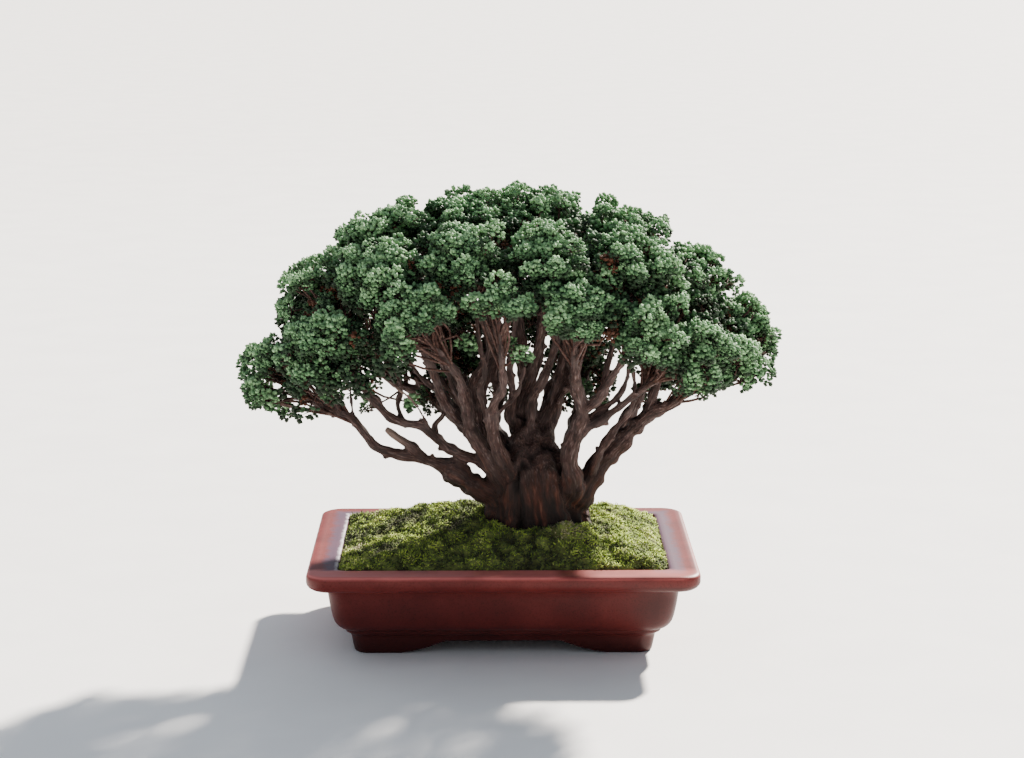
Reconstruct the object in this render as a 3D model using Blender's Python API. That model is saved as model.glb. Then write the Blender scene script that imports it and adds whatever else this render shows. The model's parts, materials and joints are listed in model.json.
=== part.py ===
"""A hinoki cypress bonsai in a rectangular clay pot. Metres, +Z up, front towards -Y.

Every place is measured from the middle of the pot's foot. plant_frame carries all the
solids and sets the whole plant's box evenly round the origin.
"""

import math
import random
from collections import namedtuple

import bmesh
import bpy
import numpy as np

GAP = 0.0003  # clearance between solids that rest on or meet each other

# The middle of the pot's foot, seen from the middle of the whole plant's box
POT_PLACE = (-0.0034, 0.0, 0.0)

# Pot: a wide flat rim over a tapering body and a rounded base moulding, on four corner feet
POT_LENGTH = 0.220
POT_WIDTH = 0.165
CORNER_STEPS = 4
CUTTER_REACH = 0.004  # past the wall that a cutter goes through
FOOT_HEIGHT = 0.0085
RECESS_INSET = 0.0400
RECESS_CORNER = 0.003
FEET_OPENING_HEIGHT = 0.008
FEET_OPENING_HALF_LONG = 0.0595
FEET_OPENING_HALF_SHORT = 0.038
# How far in from its end and what share of its height, up the curved side of the opening
FEET_OPENING_SIDE = ((0.0, 0.0), (0.007, 0.18), (0.015, 0.42), (0.021, 0.70), (0.0275, 1.0))
DRAIN_RADIUS = 0.008
DRAIN_OFFSET = 0.045
DRAIN_SIDES = 16
# How far in from the rim's edge, how high, and the corner's radius there: up the feet,
# and from the flat base up to the rim and down the inside
FOOT_PROFILE = ((0.0265, 0.0, 0.008), (0.0255, 0.0009, 0.008), (0.0240, FOOT_HEIGHT, 0.009))
POT_PROFILE = (
    (0.0239, FOOT_HEIGHT + GAP, 0.009),
    (0.0232, 0.0104, 0.009),
    (0.0208, 0.0130, 0.010),
    (0.0192, 0.0150, 0.010),
    (0.0166, 0.0168, 0.0105),
    (0.0146, 0.0200, 0.011),
    (0.0130, 0.0265, 0.011),
    (0.0117, 0.0350, 0.011),
    (0.0105, 0.0404, 0.011),
    (0.0045, 0.0415, 0.011),
    (0.0013, 0.0429, 0.012),
    (0.0000, 0.0458, 0.012),
    (0.0000, 0.0488, 0.012),
    (0.0008, 0.0503, 0.012),
    (0.0026, 0.0510, 0.011),
    (0.0160, 0.0510, 0.005),
    (0.0172, 0.0505, 0.004),
    (0.0175, 0.0490, 0.004),
    (0.0185, 0.0400, 0.004),
    (0.0250, 0.0165, 0.006),
    (0.0265, 0.0150, 0.006),
)

# Soil and moss: a mound that rises from just under the rim to the foot of the trunk
SOIL_SIDE = ((0.0268, 0.0153, 0.006), (0.0253, 0.0168, 0.006), (0.0188, 0.0400, 0.004))
SOIL_EDGE_INSET = 0.0179
SOIL_EDGE_HEIGHT = 0.0476
SOIL_SEAT_HEIGHT = 0.0597
SIDE_STEPS = 2
MOUND_RINGS = (0.0, 0.25, 0.5, 0.75, 1.0)
SEAT_HALF_WIDTH = 0.0395
SEAT_HALF_DEPTH = 0.0345
SEAT_CENTRE_SHARE = 0.6  # of the seat's size, well inside the trunk's foot
MOUND_CURVE = 0.75
MOSS_EDGE_DEPTH = 0.0028
MOSS_TRUNK_DEPTH = 0.0042
MOSS_BUMP = 0.0011
MOSS_CLEARANCE = 0.0004

# Trunk: a fluted bole with surface roots, from its flat cut on the soil to where it divides
BOLE_PLACE = (0.021, 0.0)
BOLE_FOOT = SOIL_SEAT_HEIGHT + GAP
BOLE_SIDES = 26
# Height over the soil, half width and half depth
BOLE_LEVELS = (
    (0.000, 0.0310, 0.0260),
    (0.003, 0.0302, 0.0250),
    (0.008, 0.0293, 0.0240),
    (0.016, 0.0285, 0.0234),
    (0.028, 0.0275, 0.0222),
    (0.038, 0.0245, 0.0200),
    (0.045, 0.0185, 0.0150),
    (0.049, 0.0105, 0.0085),
)
BOLE_LEAN = -0.12  # sideways for each metre up
ROOT_ANGLES = (0.35, 1.35, 2.45, 3.35, 4.15, 5.05, 5.85)
ROOT_REACH = 0.0055
ROOT_WIDTH = 0.22
ROOT_FALL = 0.006
FLUTES = 7
FLUTE_DEPTH = 0.0018

# Boughs
RING_SPACING = 0.013
SAMPLE_SPACING = 0.002
BOUGH_SIDES = 6
Bough = namedtuple("Bough", "name parent mass start_radius tip_radius points")
BOUGHS = (
    Bough("bough_low_left", "trunk", "far_left", 0.0080, 0.0018,
          ((0.012, -0.002, 0.070), (0.001, -0.003, 0.075), (-0.014, -0.008, 0.084),
           (-0.029, -0.012, 0.096), (-0.045, -0.014, 0.103), (-0.060, -0.015, 0.106),
           (-0.073, -0.016, 0.111), (-0.081, -0.017, 0.121), (-0.088, -0.018, 0.129),
           (-0.099, -0.018, 0.132))),
    Bough("bough_left", "trunk", "left_mid", 0.0042, 0.0019,
          ((0.006, -0.004, 0.082), (-0.007, -0.012, 0.099), (-0.020, -0.014, 0.104),
           (-0.031, -0.017, 0.110), (-0.039, -0.020, 0.118), (-0.047, -0.022, 0.124),
           (-0.056, -0.024, 0.126), (-0.064, -0.026, 0.130), (-0.072, -0.027, 0.139),
           (-0.086, -0.027, 0.156))),
    Bough("bough_rear_left", "trunk", "back_left", 0.0052, 0.0022,
          ((0.008, 0.006, 0.082), (-0.006, 0.008, 0.100), (-0.019, 0.018, 0.112),
           (-0.030, 0.026, 0.122), (-0.043, 0.032, 0.131), (-0.056, 0.036, 0.135),
           (-0.067, 0.040, 0.140))),
    Bough("bough_front_left", "trunk", "front_left", 0.0060, 0.0018,
          ((0.004, -0.008, 0.082), (-0.008, -0.016, 0.103), (-0.014, -0.021, 0.114),
           (-0.019, -0.025, 0.125), (-0.021, -0.029, 0.140), (-0.025, -0.040, 0.156))),
    Bough("bough_mid_left", "trunk", "mid_left", 0.0046, 0.0018,
          ((0.006, -0.004, 0.084), (-0.008, -0.009, 0.106), (-0.017, -0.012, 0.116),
           (-0.029, -0.016, 0.130), (-0.036, -0.022, 0.145), (-0.042, -0.030, 0.164))),
    Bough("bough_top_left", "trunk", "top_left", 0.0060, 0.0020,
          ((0.010, -0.001, 0.086), (-0.002, 0.001, 0.100), (-0.010, 0.003, 0.111),
           (-0.014, 0.006, 0.126), (-0.011, 0.008, 0.145), (-0.006, 0.008, 0.163),
           (-0.007, 0.005, 0.186))),
    Bough("bough_front", "trunk", "front_mid", 0.0052, 0.0018,
          ((0.008, -0.010, 0.088), (0.000, -0.021, 0.104), (-0.005, -0.028, 0.118),
           (-0.006, -0.034, 0.130), (-0.005, -0.041, 0.141), (0.000, -0.051, 0.152))),
    Bough("bough_top_mid", "trunk", "top_mid", 0.0062, 0.0020,
          ((0.016, 0.002, 0.088), (0.012, 0.004, 0.104), (0.009, 0.010, 0.121),
           (0.013, 0.014, 0.137), (0.019, 0.014, 0.152), (0.023, 0.008, 0.180))),
    Bough("bough_rear_right", "trunk", "back_right_high", 0.0066, 0.0020,
          ((0.024, 0.006, 0.086), (0.025, 0.008, 0.103), (0.025, 0.018, 0.119),
           (0.029, 0.028, 0.134), (0.038, 0.038, 0.148), (0.047, 0.045, 0.166))),
    Bough("bough_front_right", "trunk", "front_right", 0.0074, 0.0018,
          ((0.030, -0.004, 0.074), (0.038, -0.012, 0.082), (0.040, -0.020, 0.093),
           (0.038, -0.025, 0.107), (0.042, -0.028, 0.123), (0.045, -0.032, 0.136),
           (0.041, -0.038, 0.150))),
    Bough("bough_low_right", "trunk", "right_low", 0.0086, 0.0020,
          ((0.032, 0.002, 0.071), (0.042, -0.004, 0.077), (0.048, -0.008, 0.084),
           (0.056, -0.006, 0.097), (0.067, -0.005, 0.110), (0.077, -0.006, 0.121),
           (0.088, -0.008, 0.130), (0.098, -0.013, 0.135))),
    Bough("bough_back_left", "trunk", "back_mid_left", 0.0062, 0.0020,
          ((0.012, 0.008, 0.078), (0.006, 0.018, 0.092), (-0.002, 0.030, 0.106),
           (-0.014, 0.040, 0.122), (-0.026, 0.050, 0.142))),
    Bough("bough_back_right", "trunk", "back_mid_right", 0.0062, 0.0020,
          ((0.030, 0.008, 0.078), (0.036, 0.020, 0.092), (0.042, 0.032, 0.106),
           (0.046, 0.044, 0.124), (0.050, 0.056, 0.144))),
    Bough("bough_right_rear", "trunk", "back_right", 0.0060, 0.0020,
          ((0.038, 0.004, 0.076), (0.050, 0.012, 0.088), (0.062, 0.022, 0.102),
           (0.074, 0.030, 0.118), (0.085, 0.039, 0.136))),
    Bough("bough_left_fork", "bough_low_left", "left_low", 0.0024, 0.0016,
          ((-0.093, -0.018, 0.131), (-0.097, -0.021, 0.142), (-0.099, -0.026, 0.150))),
    Bough("dead_stub", "bough_low_left", None, 0.0032, 0.0022,
          ((-0.045, -0.014, 0.103), (-0.052, -0.016, 0.111), (-0.060, -0.018, 0.118),
           (-0.065, -0.019, 0.120))),
    Bough("bough_left_rear_high", "bough_rear_left", "left_back_high", 0.0028, 0.0018,
          ((-0.043, 0.032, 0.131), (-0.054, 0.036, 0.148), (-0.062, 0.038, 0.168))),
    Bough("bough_up_left", "bough_top_left", "up_left", 0.0030, 0.0018,
          ((-0.014, 0.006, 0.126), (-0.028, 0.002, 0.146), (-0.040, 0.000, 0.168),
           (-0.050, 0.000, 0.190))),
    Bough("bough_front_left_high", "bough_top_left", "front_left_high", 0.0026, 0.0016,
          ((-0.007, 0.008, 0.160), (-0.008, -0.008, 0.174), (-0.014, -0.024, 0.190))),
    Bough("bough_front_right_high", "bough_top_mid", "front_right_high", 0.0030, 0.0016,
          ((0.013, 0.014, 0.137), (0.017, 0.000, 0.152), (0.021, -0.014, 0.172),
           (0.023, -0.028, 0.190))),
    Bough("bough_front_far_right", "bough_front_right", "front_far_right", 0.0032, 0.0018,
          ((0.045, -0.032, 0.134), (0.054, -0.037, 0.143), (0.060, -0.044, 0.155))),
    Bough("bough_right_front", "bough_front_right", "right_front", 0.0030, 0.0018,
          ((0.041, -0.028, 0.119), (0.054, -0.030, 0.128), (0.066, -0.032, 0.137),
           (0.078, -0.038, 0.148))),
    Bough("bough_mid_right", "bough_front_far_right", "mid_right", 0.0024, 0.0016,
          ((0.055, -0.038, 0.145), (0.059, -0.036, 0.162), (0.064, -0.038, 0.182))),
    Bough("bough_right_mid", "bough_low_right", "right_mid", 0.0032, 0.0018,
          ((0.083, -0.007, 0.126), (0.088, -0.008, 0.144), (0.093, -0.006, 0.164))),
    Bough("bough_far_right", "bough_low_right", "far_right", 0.0028, 0.0018,
          ((0.094, -0.011, 0.133), (0.105, 0.002, 0.141))),
    Bough("bough_top_right", "bough_rear_right", "top_right", 0.0032, 0.0018,
          ((0.025, 0.018, 0.119), (0.034, 0.012, 0.138), (0.044, 0.008, 0.160),
           (0.054, 0.004, 0.184))),
    Bough("bough_back_high", "bough_back_left", "back_high", 0.0028, 0.0018,
          ((-0.014, 0.040, 0.122), (-0.011, 0.045, 0.142), (-0.008, 0.049, 0.170))),
)

# Foliage: the crown is a dome of dense pads, each with a core that its sprays stand out of
CROWN_MIDDLE = np.array((0.004, 0.0, 0.150))
CROWN_HALF = np.array((0.158, 0.115, 0.110))
Mass = namedtuple("Mass", "name middle half")
MASSES = (
    Mass("far_left", (-0.128, -0.008, 0.148), (0.033, 0.033, 0.024)),
    Mass("left_low", (-0.100, -0.050, 0.172), (0.035, 0.033, 0.025)),
    Mass("front_left", (-0.046, -0.078, 0.191), (0.035, 0.031, 0.025)),
    Mass("front_mid", (-0.002, -0.086, 0.193), (0.033, 0.028, 0.025)),
    Mass("front_right", (0.038, -0.082, 0.193), (0.033, 0.028, 0.025)),
    Mass("front_far_right", (0.076, -0.068, 0.185), (0.033, 0.031, 0.025)),
    Mass("right_front", (0.104, -0.056, 0.168), (0.033, 0.031, 0.025)),
    Mass("right_low", (0.123, -0.034, 0.163), (0.033, 0.033, 0.019)),
    Mass("far_right", (0.138, 0.006, 0.173), (0.033, 0.035, 0.024)),
    Mass("back_right", (0.104, 0.054, 0.168), (0.035, 0.035, 0.025)),
    Mass("back_mid_right", (0.044, 0.083, 0.181), (0.041, 0.030, 0.025)),
    Mass("back_mid_left", (-0.034, 0.082, 0.182), (0.041, 0.030, 0.025)),
    Mass("back_left", (-0.094, 0.050, 0.170), (0.038, 0.035, 0.025)),
    Mass("left_mid", (-0.101, -0.006, 0.197), (0.035, 0.035, 0.026)),
    Mass("mid_left", (-0.066, -0.046, 0.212), (0.035, 0.033, 0.025)),
    Mass("front_left_high", (-0.022, -0.054, 0.222), (0.033, 0.033, 0.025)),
    Mass("front_right_high", (0.024, -0.054, 0.222), (0.033, 0.033, 0.025)),
    Mass("mid_right", (0.068, -0.042, 0.214), (0.035, 0.033, 0.025)),
    Mass("right_mid", (0.106, 0.000, 0.204), (0.037, 0.035, 0.025)),
    Mass("back_right_high", (0.060, 0.044, 0.218), (0.037, 0.033, 0.025)),
    Mass("back_high", (-0.006, 0.052, 0.224), (0.041, 0.033, 0.025)),
    Mass("left_back_high", (-0.070, 0.038, 0.212), (0.037, 0.033, 0.025)),
    Mass("up_left", (-0.065, 0.000, 0.231), (0.037, 0.035, 0.025)),
    Mass("top_left", (-0.018, 0.000, 0.236), (0.033, 0.033, 0.025)),
    Mass("top_mid", (0.024, 0.000, 0.238), (0.033, 0.033, 0.025)),
    Mass("top_right", (0.066, 0.000, 0.230), (0.035, 0.033, 0.025)),
)
SEED = 7
CORE_SHARE = 0.90  # of a pad's half size
UNDERSIDE_SHARE = 0.75  # a pad is flatter below than above
CORE_WALL_SHARE = 0.96
CORE_UNDER_CROWN = 0.011
CORE_LUMPS = 0.10
STEM_REACH = 0.005  # how far the stem shows under the core
SPRAYS = 16
SPRAY_JITTER = 0.22
SPRAY_OVERREACH = 1.16
LEAST_SPRAY = 0.006
LEAST_CORE = 0.006
SPRAY_SINK = 0.45  # of the core's reach, where a spray is rooted
SPRAY_WIDTH = 0.0065  # from its middle to the tip of a side lobe
SPRAY_THICKNESS = 0.0016
# A fan's outline after its root, as shares of its length and of its width
SPRAY_OUTLINE = ((0.74, 1.0), (0.80, 0.35), (1.0, 0.0), (0.80, -0.35), (0.74, -1.0))
SPRAY_THICKEST = 0.66  # share of its length
LIMB_CLEARANCE = 0.0012
SPACE_CLEARANCE = 0.0004
TWIGS = 2
TWIG_RADIUS = 0.0009

Finish = namedtuple("Finish", "colour roughness")
FINISHES = {
    "unglazed_clay": Finish((0.16, 0.042, 0.034), 0.45),
    "soil": Finish((0.040, 0.028, 0.018), 0.95),
    "moss": Finish((0.12, 0.16, 0.035), 0.95),
    "bark": Finish((0.085, 0.045, 0.034), 0.85),
    "foliage": Finish((0.055, 0.120, 0.048), 0.60),
}


def clear_scene():
    for thing in list(bpy.data.objects):
        bpy.data.objects.remove(thing)


def make_material(name, finish):
    material = bpy.data.materials.new(name)
    material.use_nodes = True
    shader = material.node_tree.nodes["Principled BSDF"]
    shader.inputs["Base Color"].default_value = (*finish.colour, 1.0)
    shader.inputs["Roughness"].default_value = finish.roughness
    shader.inputs["Metallic"].default_value = 0.0
    return material


def make_object(name, shape):
    """Turn a bmesh into a named object with its faces pointing out."""
    bmesh.ops.recalc_face_normals(shape, faces=shape.faces)
    mesh = bpy.data.meshes.new(name)
    shape.to_mesh(mesh)
    shape.free()
    thing = bpy.data.objects.new(name, mesh)
    bpy.context.scene.collection.objects.link(thing)
    return thing


def finish_object(thing, materials, finish, frame):
    thing.data.materials.clear()
    thing.data.materials.append(materials[finish])
    thing.data.shade_smooth()
    thing.data.set_sharp_from_angle(angle=math.radians(35))
    thing.parent = frame


def loft(name, loops):
    """A solid skinned over loops of equal length and capped at its ends."""
    shape = bmesh.new()
    rings = [[shape.verts.new(point) for point in loop] for loop in loops]
    shape.faces.new(rings[0])
    shape.faces.new(rings[-1])
    for lower, upper in zip(rings, rings[1:]):
        for index in range(len(lower)):
            after = (index + 1) % len(lower)
            shape.faces.new((lower[index], lower[after], upper[after]))
            shape.faces.new((lower[index], upper[after], upper[index]))
    return make_object(name, shape)


def unit(vector):
    return vector / np.linalg.norm(vector)


def as_helper(thing):
    thing.hide_render = True
    thing.display_type = "WIRE"
    return thing


def subtract(thing, cutter):
    modifier = thing.modifiers.new("cut_by_" + cutter.name, "BOOLEAN")
    modifier.operation = "DIFFERENCE"
    modifier.object = as_helper(cutter)


def rounded_rectangle(inset, height, radius, side_steps=1):
    """A loop this far in from the rim's edge, anticlockwise from above."""
    half_x = POT_LENGTH / 2 - inset - radius
    half_y = POT_WIDTH / 2 - inset - radius
    corners = ((half_x, half_y), (-half_x, half_y), (-half_x, -half_y), (half_x, -half_y))
    loop = []
    for turn, (x, y) in enumerate(corners):
        arc = [(turn + step / CORNER_STEPS) * math.pi / 2 for step in range(CORNER_STEPS + 1)]
        loop += [np.array((x + radius * math.cos(a), y + radius * math.sin(a), height)) for a in arc]
        next_x, next_y = corners[(turn + 1) % 4]
        start = loop[-1]
        run = np.array((next_x - x, next_y - y, 0.0))
        loop += [start + run * step / side_steps for step in range(1, side_steps)]
    return loop


def feet_opening(name, half, along):
    """The cut between two feet, run right through, which narrows as it rises."""
    side = [(half, -CUTTER_REACH)]
    side += [(half - inset, share * FEET_OPENING_HEIGHT) for inset, share in FEET_OPENING_SIDE]
    side.append((side[-1][0], FOOT_HEIGHT + CUTTER_REACH))
    outline = side + [(-across, up) for across, up in reversed(side)]
    reach = max(POT_LENGTH, POT_WIDTH)
    if along == "Y":
        loops = [[(across, far, up) for across, up in outline] for far in (-reach, reach)]
    else:
        loops = [[(far, across, up) for across, up in outline] for far in (-reach, reach)]
    return loft(name, loops)


def drain_hole(name, x):
    levels = (POT_PROFILE[0][1] - CUTTER_REACH, POT_PROFILE[-1][1] + CUTTER_REACH)
    turn = [2 * math.pi * step / DRAIN_SIDES for step in range(DRAIN_SIDES)]
    loops = [[(x + DRAIN_RADIUS * math.cos(a), DRAIN_RADIUS * math.sin(a), z) for a in turn]
             for z in levels]
    return loft(name, loops)


def make_pot():
    pot = loft("pot", [rounded_rectangle(*row) for row in POT_PROFILE])
    subtract(pot, drain_hole("drain_left", -DRAIN_OFFSET))
    subtract(pot, drain_hole("drain_right", DRAIN_OFFSET))
    return pot


def make_foot(side, end):
    """The corner foot on this side and at this end of the pot, cut from the whole base."""
    name = f"pot_foot_{'back' if side > 0 else 'front'}_{'right' if end > 0 else 'left'}"
    foot = loft(name, [rounded_rectangle(*row) for row in FOOT_PROFILE])
    levels = (-CUTTER_REACH, FOOT_HEIGHT + CUTTER_REACH)
    recess = loft("recess", [rounded_rectangle(RECESS_INSET, z, RECESS_CORNER) for z in levels])
    cutters = [recess, feet_opening("opening_front", FEET_OPENING_HALF_LONG, "Y"),
               feet_opening("opening_side", FEET_OPENING_HALF_SHORT, "X")]
    for cutter in cutters:
        subtract(foot, cutter)
    settle(foot, cutters, lambda spot: spot.x * end > 0 and spot.y * side > 0)
    return foot


def bole_size(height):
    levels = np.array(BOLE_LEVELS).T
    return (np.interp(height, levels[0], levels[1]), np.interp(height, levels[0], levels[2]))


def bole_radius(angle, height):
    """How far the bark is from the bole's axis, at an angle and a height over the soil."""
    half_width, half_depth = bole_size(height)
    radius = 1 / math.hypot(math.cos(angle) / half_width, math.sin(angle) / half_depth)
    radius += FLUTE_DEPTH * math.cos(FLUTES * angle + 1.0)
    for root in ROOT_ANGLES:
        turn = (angle - root + math.pi) % (2 * math.pi) - math.pi
        radius += ROOT_REACH * math.exp(-((turn / ROOT_WIDTH) ** 2) - height / ROOT_FALL)
    return radius


def bole_angles():
    return [2 * math.pi * step / BOLE_SIDES for step in range(BOLE_SIDES)]


def bole_axis(height):
    return BOLE_PLACE[0] + BOLE_LEAN * height, BOLE_PLACE[1]


def bole_point(angle, height, extra=0.0):
    radius = bole_radius(angle, height) + extra
    x, y = bole_axis(height)
    return np.array((x + radius * math.cos(angle), y + radius * math.sin(angle), BOLE_FOOT + height))


def mound_ring(share, height_at_edge, height_at_trunk, chance=None):
    """One loop of the mound, this share of the way from the pot's wall to the trunk's seat.

    With a source of chance, the loops between the two are bumpy.
    """
    ring = []
    for point in rounded_rectangle(SOIL_EDGE_INSET, 0.0, 0.004, SIDE_STEPS):
        x, y = point[0] - BOLE_PLACE[0], point[1] - BOLE_PLACE[1]
        seat_scale = 1 / math.hypot(x / SEAT_HALF_WIDTH, y / SEAT_HALF_DEPTH)
        spot = point * (1 - share)
        spot[:2] += (np.array(BOLE_PLACE) + np.array((x, y)) * seat_scale) * share
        spot[2] = height_at_edge + (height_at_trunk - height_at_edge) * share ** MOUND_CURVE
        if chance and 0 < share < 1:
            spot[2] += chance.uniform(-MOSS_BUMP, MOSS_BUMP)
        ring.append(spot)
    return ring


def inner_ring(ring):
    """A smaller copy of the seat's loop, inside the trunk's foot."""
    middle = np.array((*BOLE_PLACE, ring[0][2]))
    return [middle + (point - middle) * SEAT_CENTRE_SHARE for point in ring]


def make_soil():
    side = [rounded_rectangle(*row, SIDE_STEPS) for row in SOIL_SIDE]
    top = [mound_ring(share, SOIL_EDGE_HEIGHT, SOIL_SEAT_HEIGHT) for share in MOUND_RINGS]
    return loft("soil", side + top)


def make_moss():
    """A carpet over the soil, open round the foot of the trunk."""
    chance = random.Random(SEED)
    edge, seat = SOIL_EDGE_HEIGHT + GAP, SOIL_SEAT_HEIGHT + GAP
    over = [mound_ring(share, edge + MOSS_EDGE_DEPTH, seat + MOSS_TRUNK_DEPTH, chance)
            for share in reversed(MOUND_RINGS)]
    under = [mound_ring(share, edge, seat) for share in MOUND_RINGS]
    moss = loft("moss", [inner_ring(over[0]), *over, *under, inner_ring(under[-1])])
    heights = (-0.003, 0.0, *(level[0] for level in BOLE_LEVELS[1:4]))
    opening = [[bole_point(angle, height, MOSS_CLEARANCE) for angle in bole_angles()]
               for height in heights]
    subtract(moss, loft("trunk_opening", opening))
    return moss


def smooth_path(points, spacing):
    """Points about this far apart on a smooth curve through the given ones."""
    points = [np.array(point) for point in points]
    guides = [2 * points[0] - points[1], *points, 2 * points[-1] - points[-2]]
    path = [points[0]]
    for a, b, c, d in zip(guides, guides[1:], guides[2:], guides[3:]):
        steps = max(1, round(np.linalg.norm(c - b) / spacing))
        for t in (step / steps for step in range(1, steps + 1)):
            path.append(0.5 * (2 * b + (c - a) * t + (2 * a - 5 * b + 4 * c - d) * t ** 2
                               + (3 * b - a - 3 * c + d) * t ** 3))
    return np.array(path)


def lengths_along(path):
    steps = np.linalg.norm(np.diff(path, axis=0), axis=1)
    return np.concatenate([[0.0], np.cumsum(steps)])


def tube(name, path, radii, sides, start_way=None, end_way=None):
    """A round solid along a path, its end faces square to the ways given."""
    ways = np.gradient(path, axis=0)
    if start_way is not None:
        ways[0] = start_way
    if end_way is not None:
        ways[-1] = end_way
    side = np.array((0.31, -0.22, 0.92))
    loops = []
    for point, way, radius in zip(path, ways, radii):
        way = unit(way)
        side = unit(side - way * side.dot(way))
        other = np.cross(way, side)
        turn = (2 * math.pi * step / sides for step in range(sides))
        loops.append([point + radius * (math.cos(a) * side + math.sin(a) * other) for a in turn])
    return loft(name, loops)


class Limb:
    """A bough's centre line, finely sampled, with its radius all along."""

    def __init__(self, bough, masses, limbs):
        self.bough = bough
        points = list(bough.points)
        if bough.parent != "trunk":
            points[0] = limbs[bough.parent].nearest(points[0])
        if bough.mass:
            points.append(masses[bough.mass].tip_towards(points[-1]))
        self.path = smooth_path(points, SAMPLE_SPACING)
        self.along = lengths_along(self.path)
        self.start = 0.0

    @property
    def length(self):
        return self.along[-1]

    def at(self, along):
        return np.array([np.interp(along, self.along, axis) for axis in self.path.T])

    def way(self, along):
        step = SAMPLE_SPACING / 2
        return unit(self.at(min(along + step, self.length)) - self.at(max(along - step, 0.0)))

    def radius(self, along):
        share = along / self.length
        return self.bough.start_radius + (self.bough.tip_radius - self.bough.start_radius) * share

    def nearest(self, point):
        return self.path[np.linalg.norm(self.path - point, axis=1).argmin()]

    def clearance(self, point, radius=0.0):
        """How clear a ball at a point is of the whole limb."""
        away = np.linalg.norm(self.path - point, axis=1)
        return (away - self.radius(self.along)).min() - radius

    def solid(self, name, start, end, extra=0.0):
        rings = max(2, round((end - start) / RING_SPACING) + 1)
        stops = np.linspace(start, end, rings)
        path = np.array([self.at(stop) for stop in stops])
        radii = [self.radius(stop) + extra for stop in stops]
        return tube(name, path, radii, BOUGH_SIDES, self.way(start), self.way(end))

    def bough_solid(self, name, extra=0.0):
        start = self.start + GAP / 2 if self.bough.parent == "trunk" else 0.0
        return self.solid(name, start, self.length, extra)


def outside_bole(point, radius):
    """Whether a ball at a point is clear of the bole."""
    height = point[2] - BOLE_FOOT
    top = BOLE_LEVELS[-1][0]
    x, y = bole_axis(height)
    away = math.hypot(point[0] - x, point[1] - y)
    angle = math.atan2(point[1] - y, point[0] - x)
    return height > top + radius or away > bole_radius(angle, min(max(height, 0.0), top)) + radius


def leave_trunk(limb, others):
    """Where along it a limb is clear of the bole and of every other limb from the trunk."""
    clear_from = limb.length
    for along in limb.along[::-1]:
        point, radius = limb.at(along), limb.radius(along) + 2 * GAP
        if not outside_bole(point, radius):
            break
        if any(other.clearance(point, radius) < 0 for other in others):
            break
        clear_from = along
    return clear_from


class Space:
    """The room that one mass keeps to, and what grows in it."""

    def __init__(self, mass, others):
        self.name = mass.name
        self.middle = np.array(mass.middle)
        self.half = np.array(mass.half)
        self.walls = []
        for other in others:
            across = np.array(other.middle) - self.middle
            span = np.linalg.norm(across)
            normal = across / span
            mine = np.linalg.norm(normal * self.half)
            theirs = np.linalg.norm(normal * np.array(other.half))
            self.walls.append((normal, span * mine / (mine + theirs) - SPACE_CLEARANCE))

    def pad_reach(self, way):
        half = self.half * (1, 1, UNDERSIDE_SHARE if way[2] < 0 else 1)
        return 1 / np.linalg.norm(way / half)

    def crown_reach(self, way):
        place = (self.middle - CROWN_MIDDLE) / CROWN_HALF
        way = way / CROWN_HALF
        a, b, c = way.dot(way), place.dot(way), place.dot(place) - 1
        return (math.sqrt(max(b * b - a * c, 0.0)) - b) / a

    def wall_reach(self, way):
        reaches = [offset / normal.dot(way) for normal, offset in self.walls if normal.dot(way) > 1e-6]
        return min(reaches, default=math.inf)

    def core_reach(self, way):
        return min(CORE_SHARE * self.pad_reach(way), CORE_WALL_SHARE * self.wall_reach(way),
                   self.crown_reach(way) - CORE_UNDER_CROWN)

    def holds(self, point):
        inside = all(normal.dot(point - self.middle) <= offset for normal, offset in self.walls)
        return inside and np.linalg.norm((point - CROWN_MIDDLE) / CROWN_HALF) <= 1.02

    def tip_towards(self, point):
        """Where the bough that comes from a point meets this mass's stem."""
        way = unit(np.array(point) - self.middle)
        return self.middle + way * (self.core_reach(way) + STEM_REACH)


def make_core(space, limbs, chance):
    shape = bmesh.new()
    bmesh.ops.create_icosphere(shape, subdivisions=2, radius=1.0)
    for vertex in shape.verts:
        way = unit(np.array(vertex.co))
        reach = space.core_reach(way) * (1 - CORE_LUMPS * chance.random())
        while reach > LEAST_CORE and not is_clear([space.middle + way * reach], limbs):
            reach -= 0.001
        vertex.co = space.middle + way * reach
    return make_object("core", shape)


def make_spray(root, tip, across):
    """A toothed fan: three lobes in one outline, thickest in its middle."""
    run = tip - root
    length = np.linalg.norm(run)
    way = run / length
    across = unit(across - way * across.dot(way)) * SPRAY_WIDTH
    through = np.cross(way, unit(across)) * SPRAY_THICKNESS / 2
    outline = [root] + [root + share * run + side * across for share, side in SPRAY_OUTLINE]
    middle = root + SPRAY_THICKEST * run
    return outline, (middle + through, middle - through)


def spray_solid(name, outline, faces):
    shape = bmesh.new()
    rim = [shape.verts.new(point) for point in outline]
    top, bottom = (shape.verts.new(point) for point in faces)
    for index, corner in enumerate(rim):
        after = rim[(index + 1) % len(rim)]
        shape.faces.new((corner, after, top))
        shape.faces.new((after, corner, bottom))
    return make_object(name, shape)


def is_clear(points, limbs):
    return all(limb.clearance(point) > LIMB_CLEARANCE for point in points for limb in limbs)


def spray_ways(count, outward):
    """The way out of the crown, then ways spread evenly over a ball without its underside."""
    yield outward
    golden = math.pi * (3 - math.sqrt(5))
    for index in range(count):
        up = 1 - 1.55 * (index + 0.5) / count
        flat = math.sqrt(1 - up * up)
        yield np.array((flat * math.cos(golden * index), flat * math.sin(golden * index), up))


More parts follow.
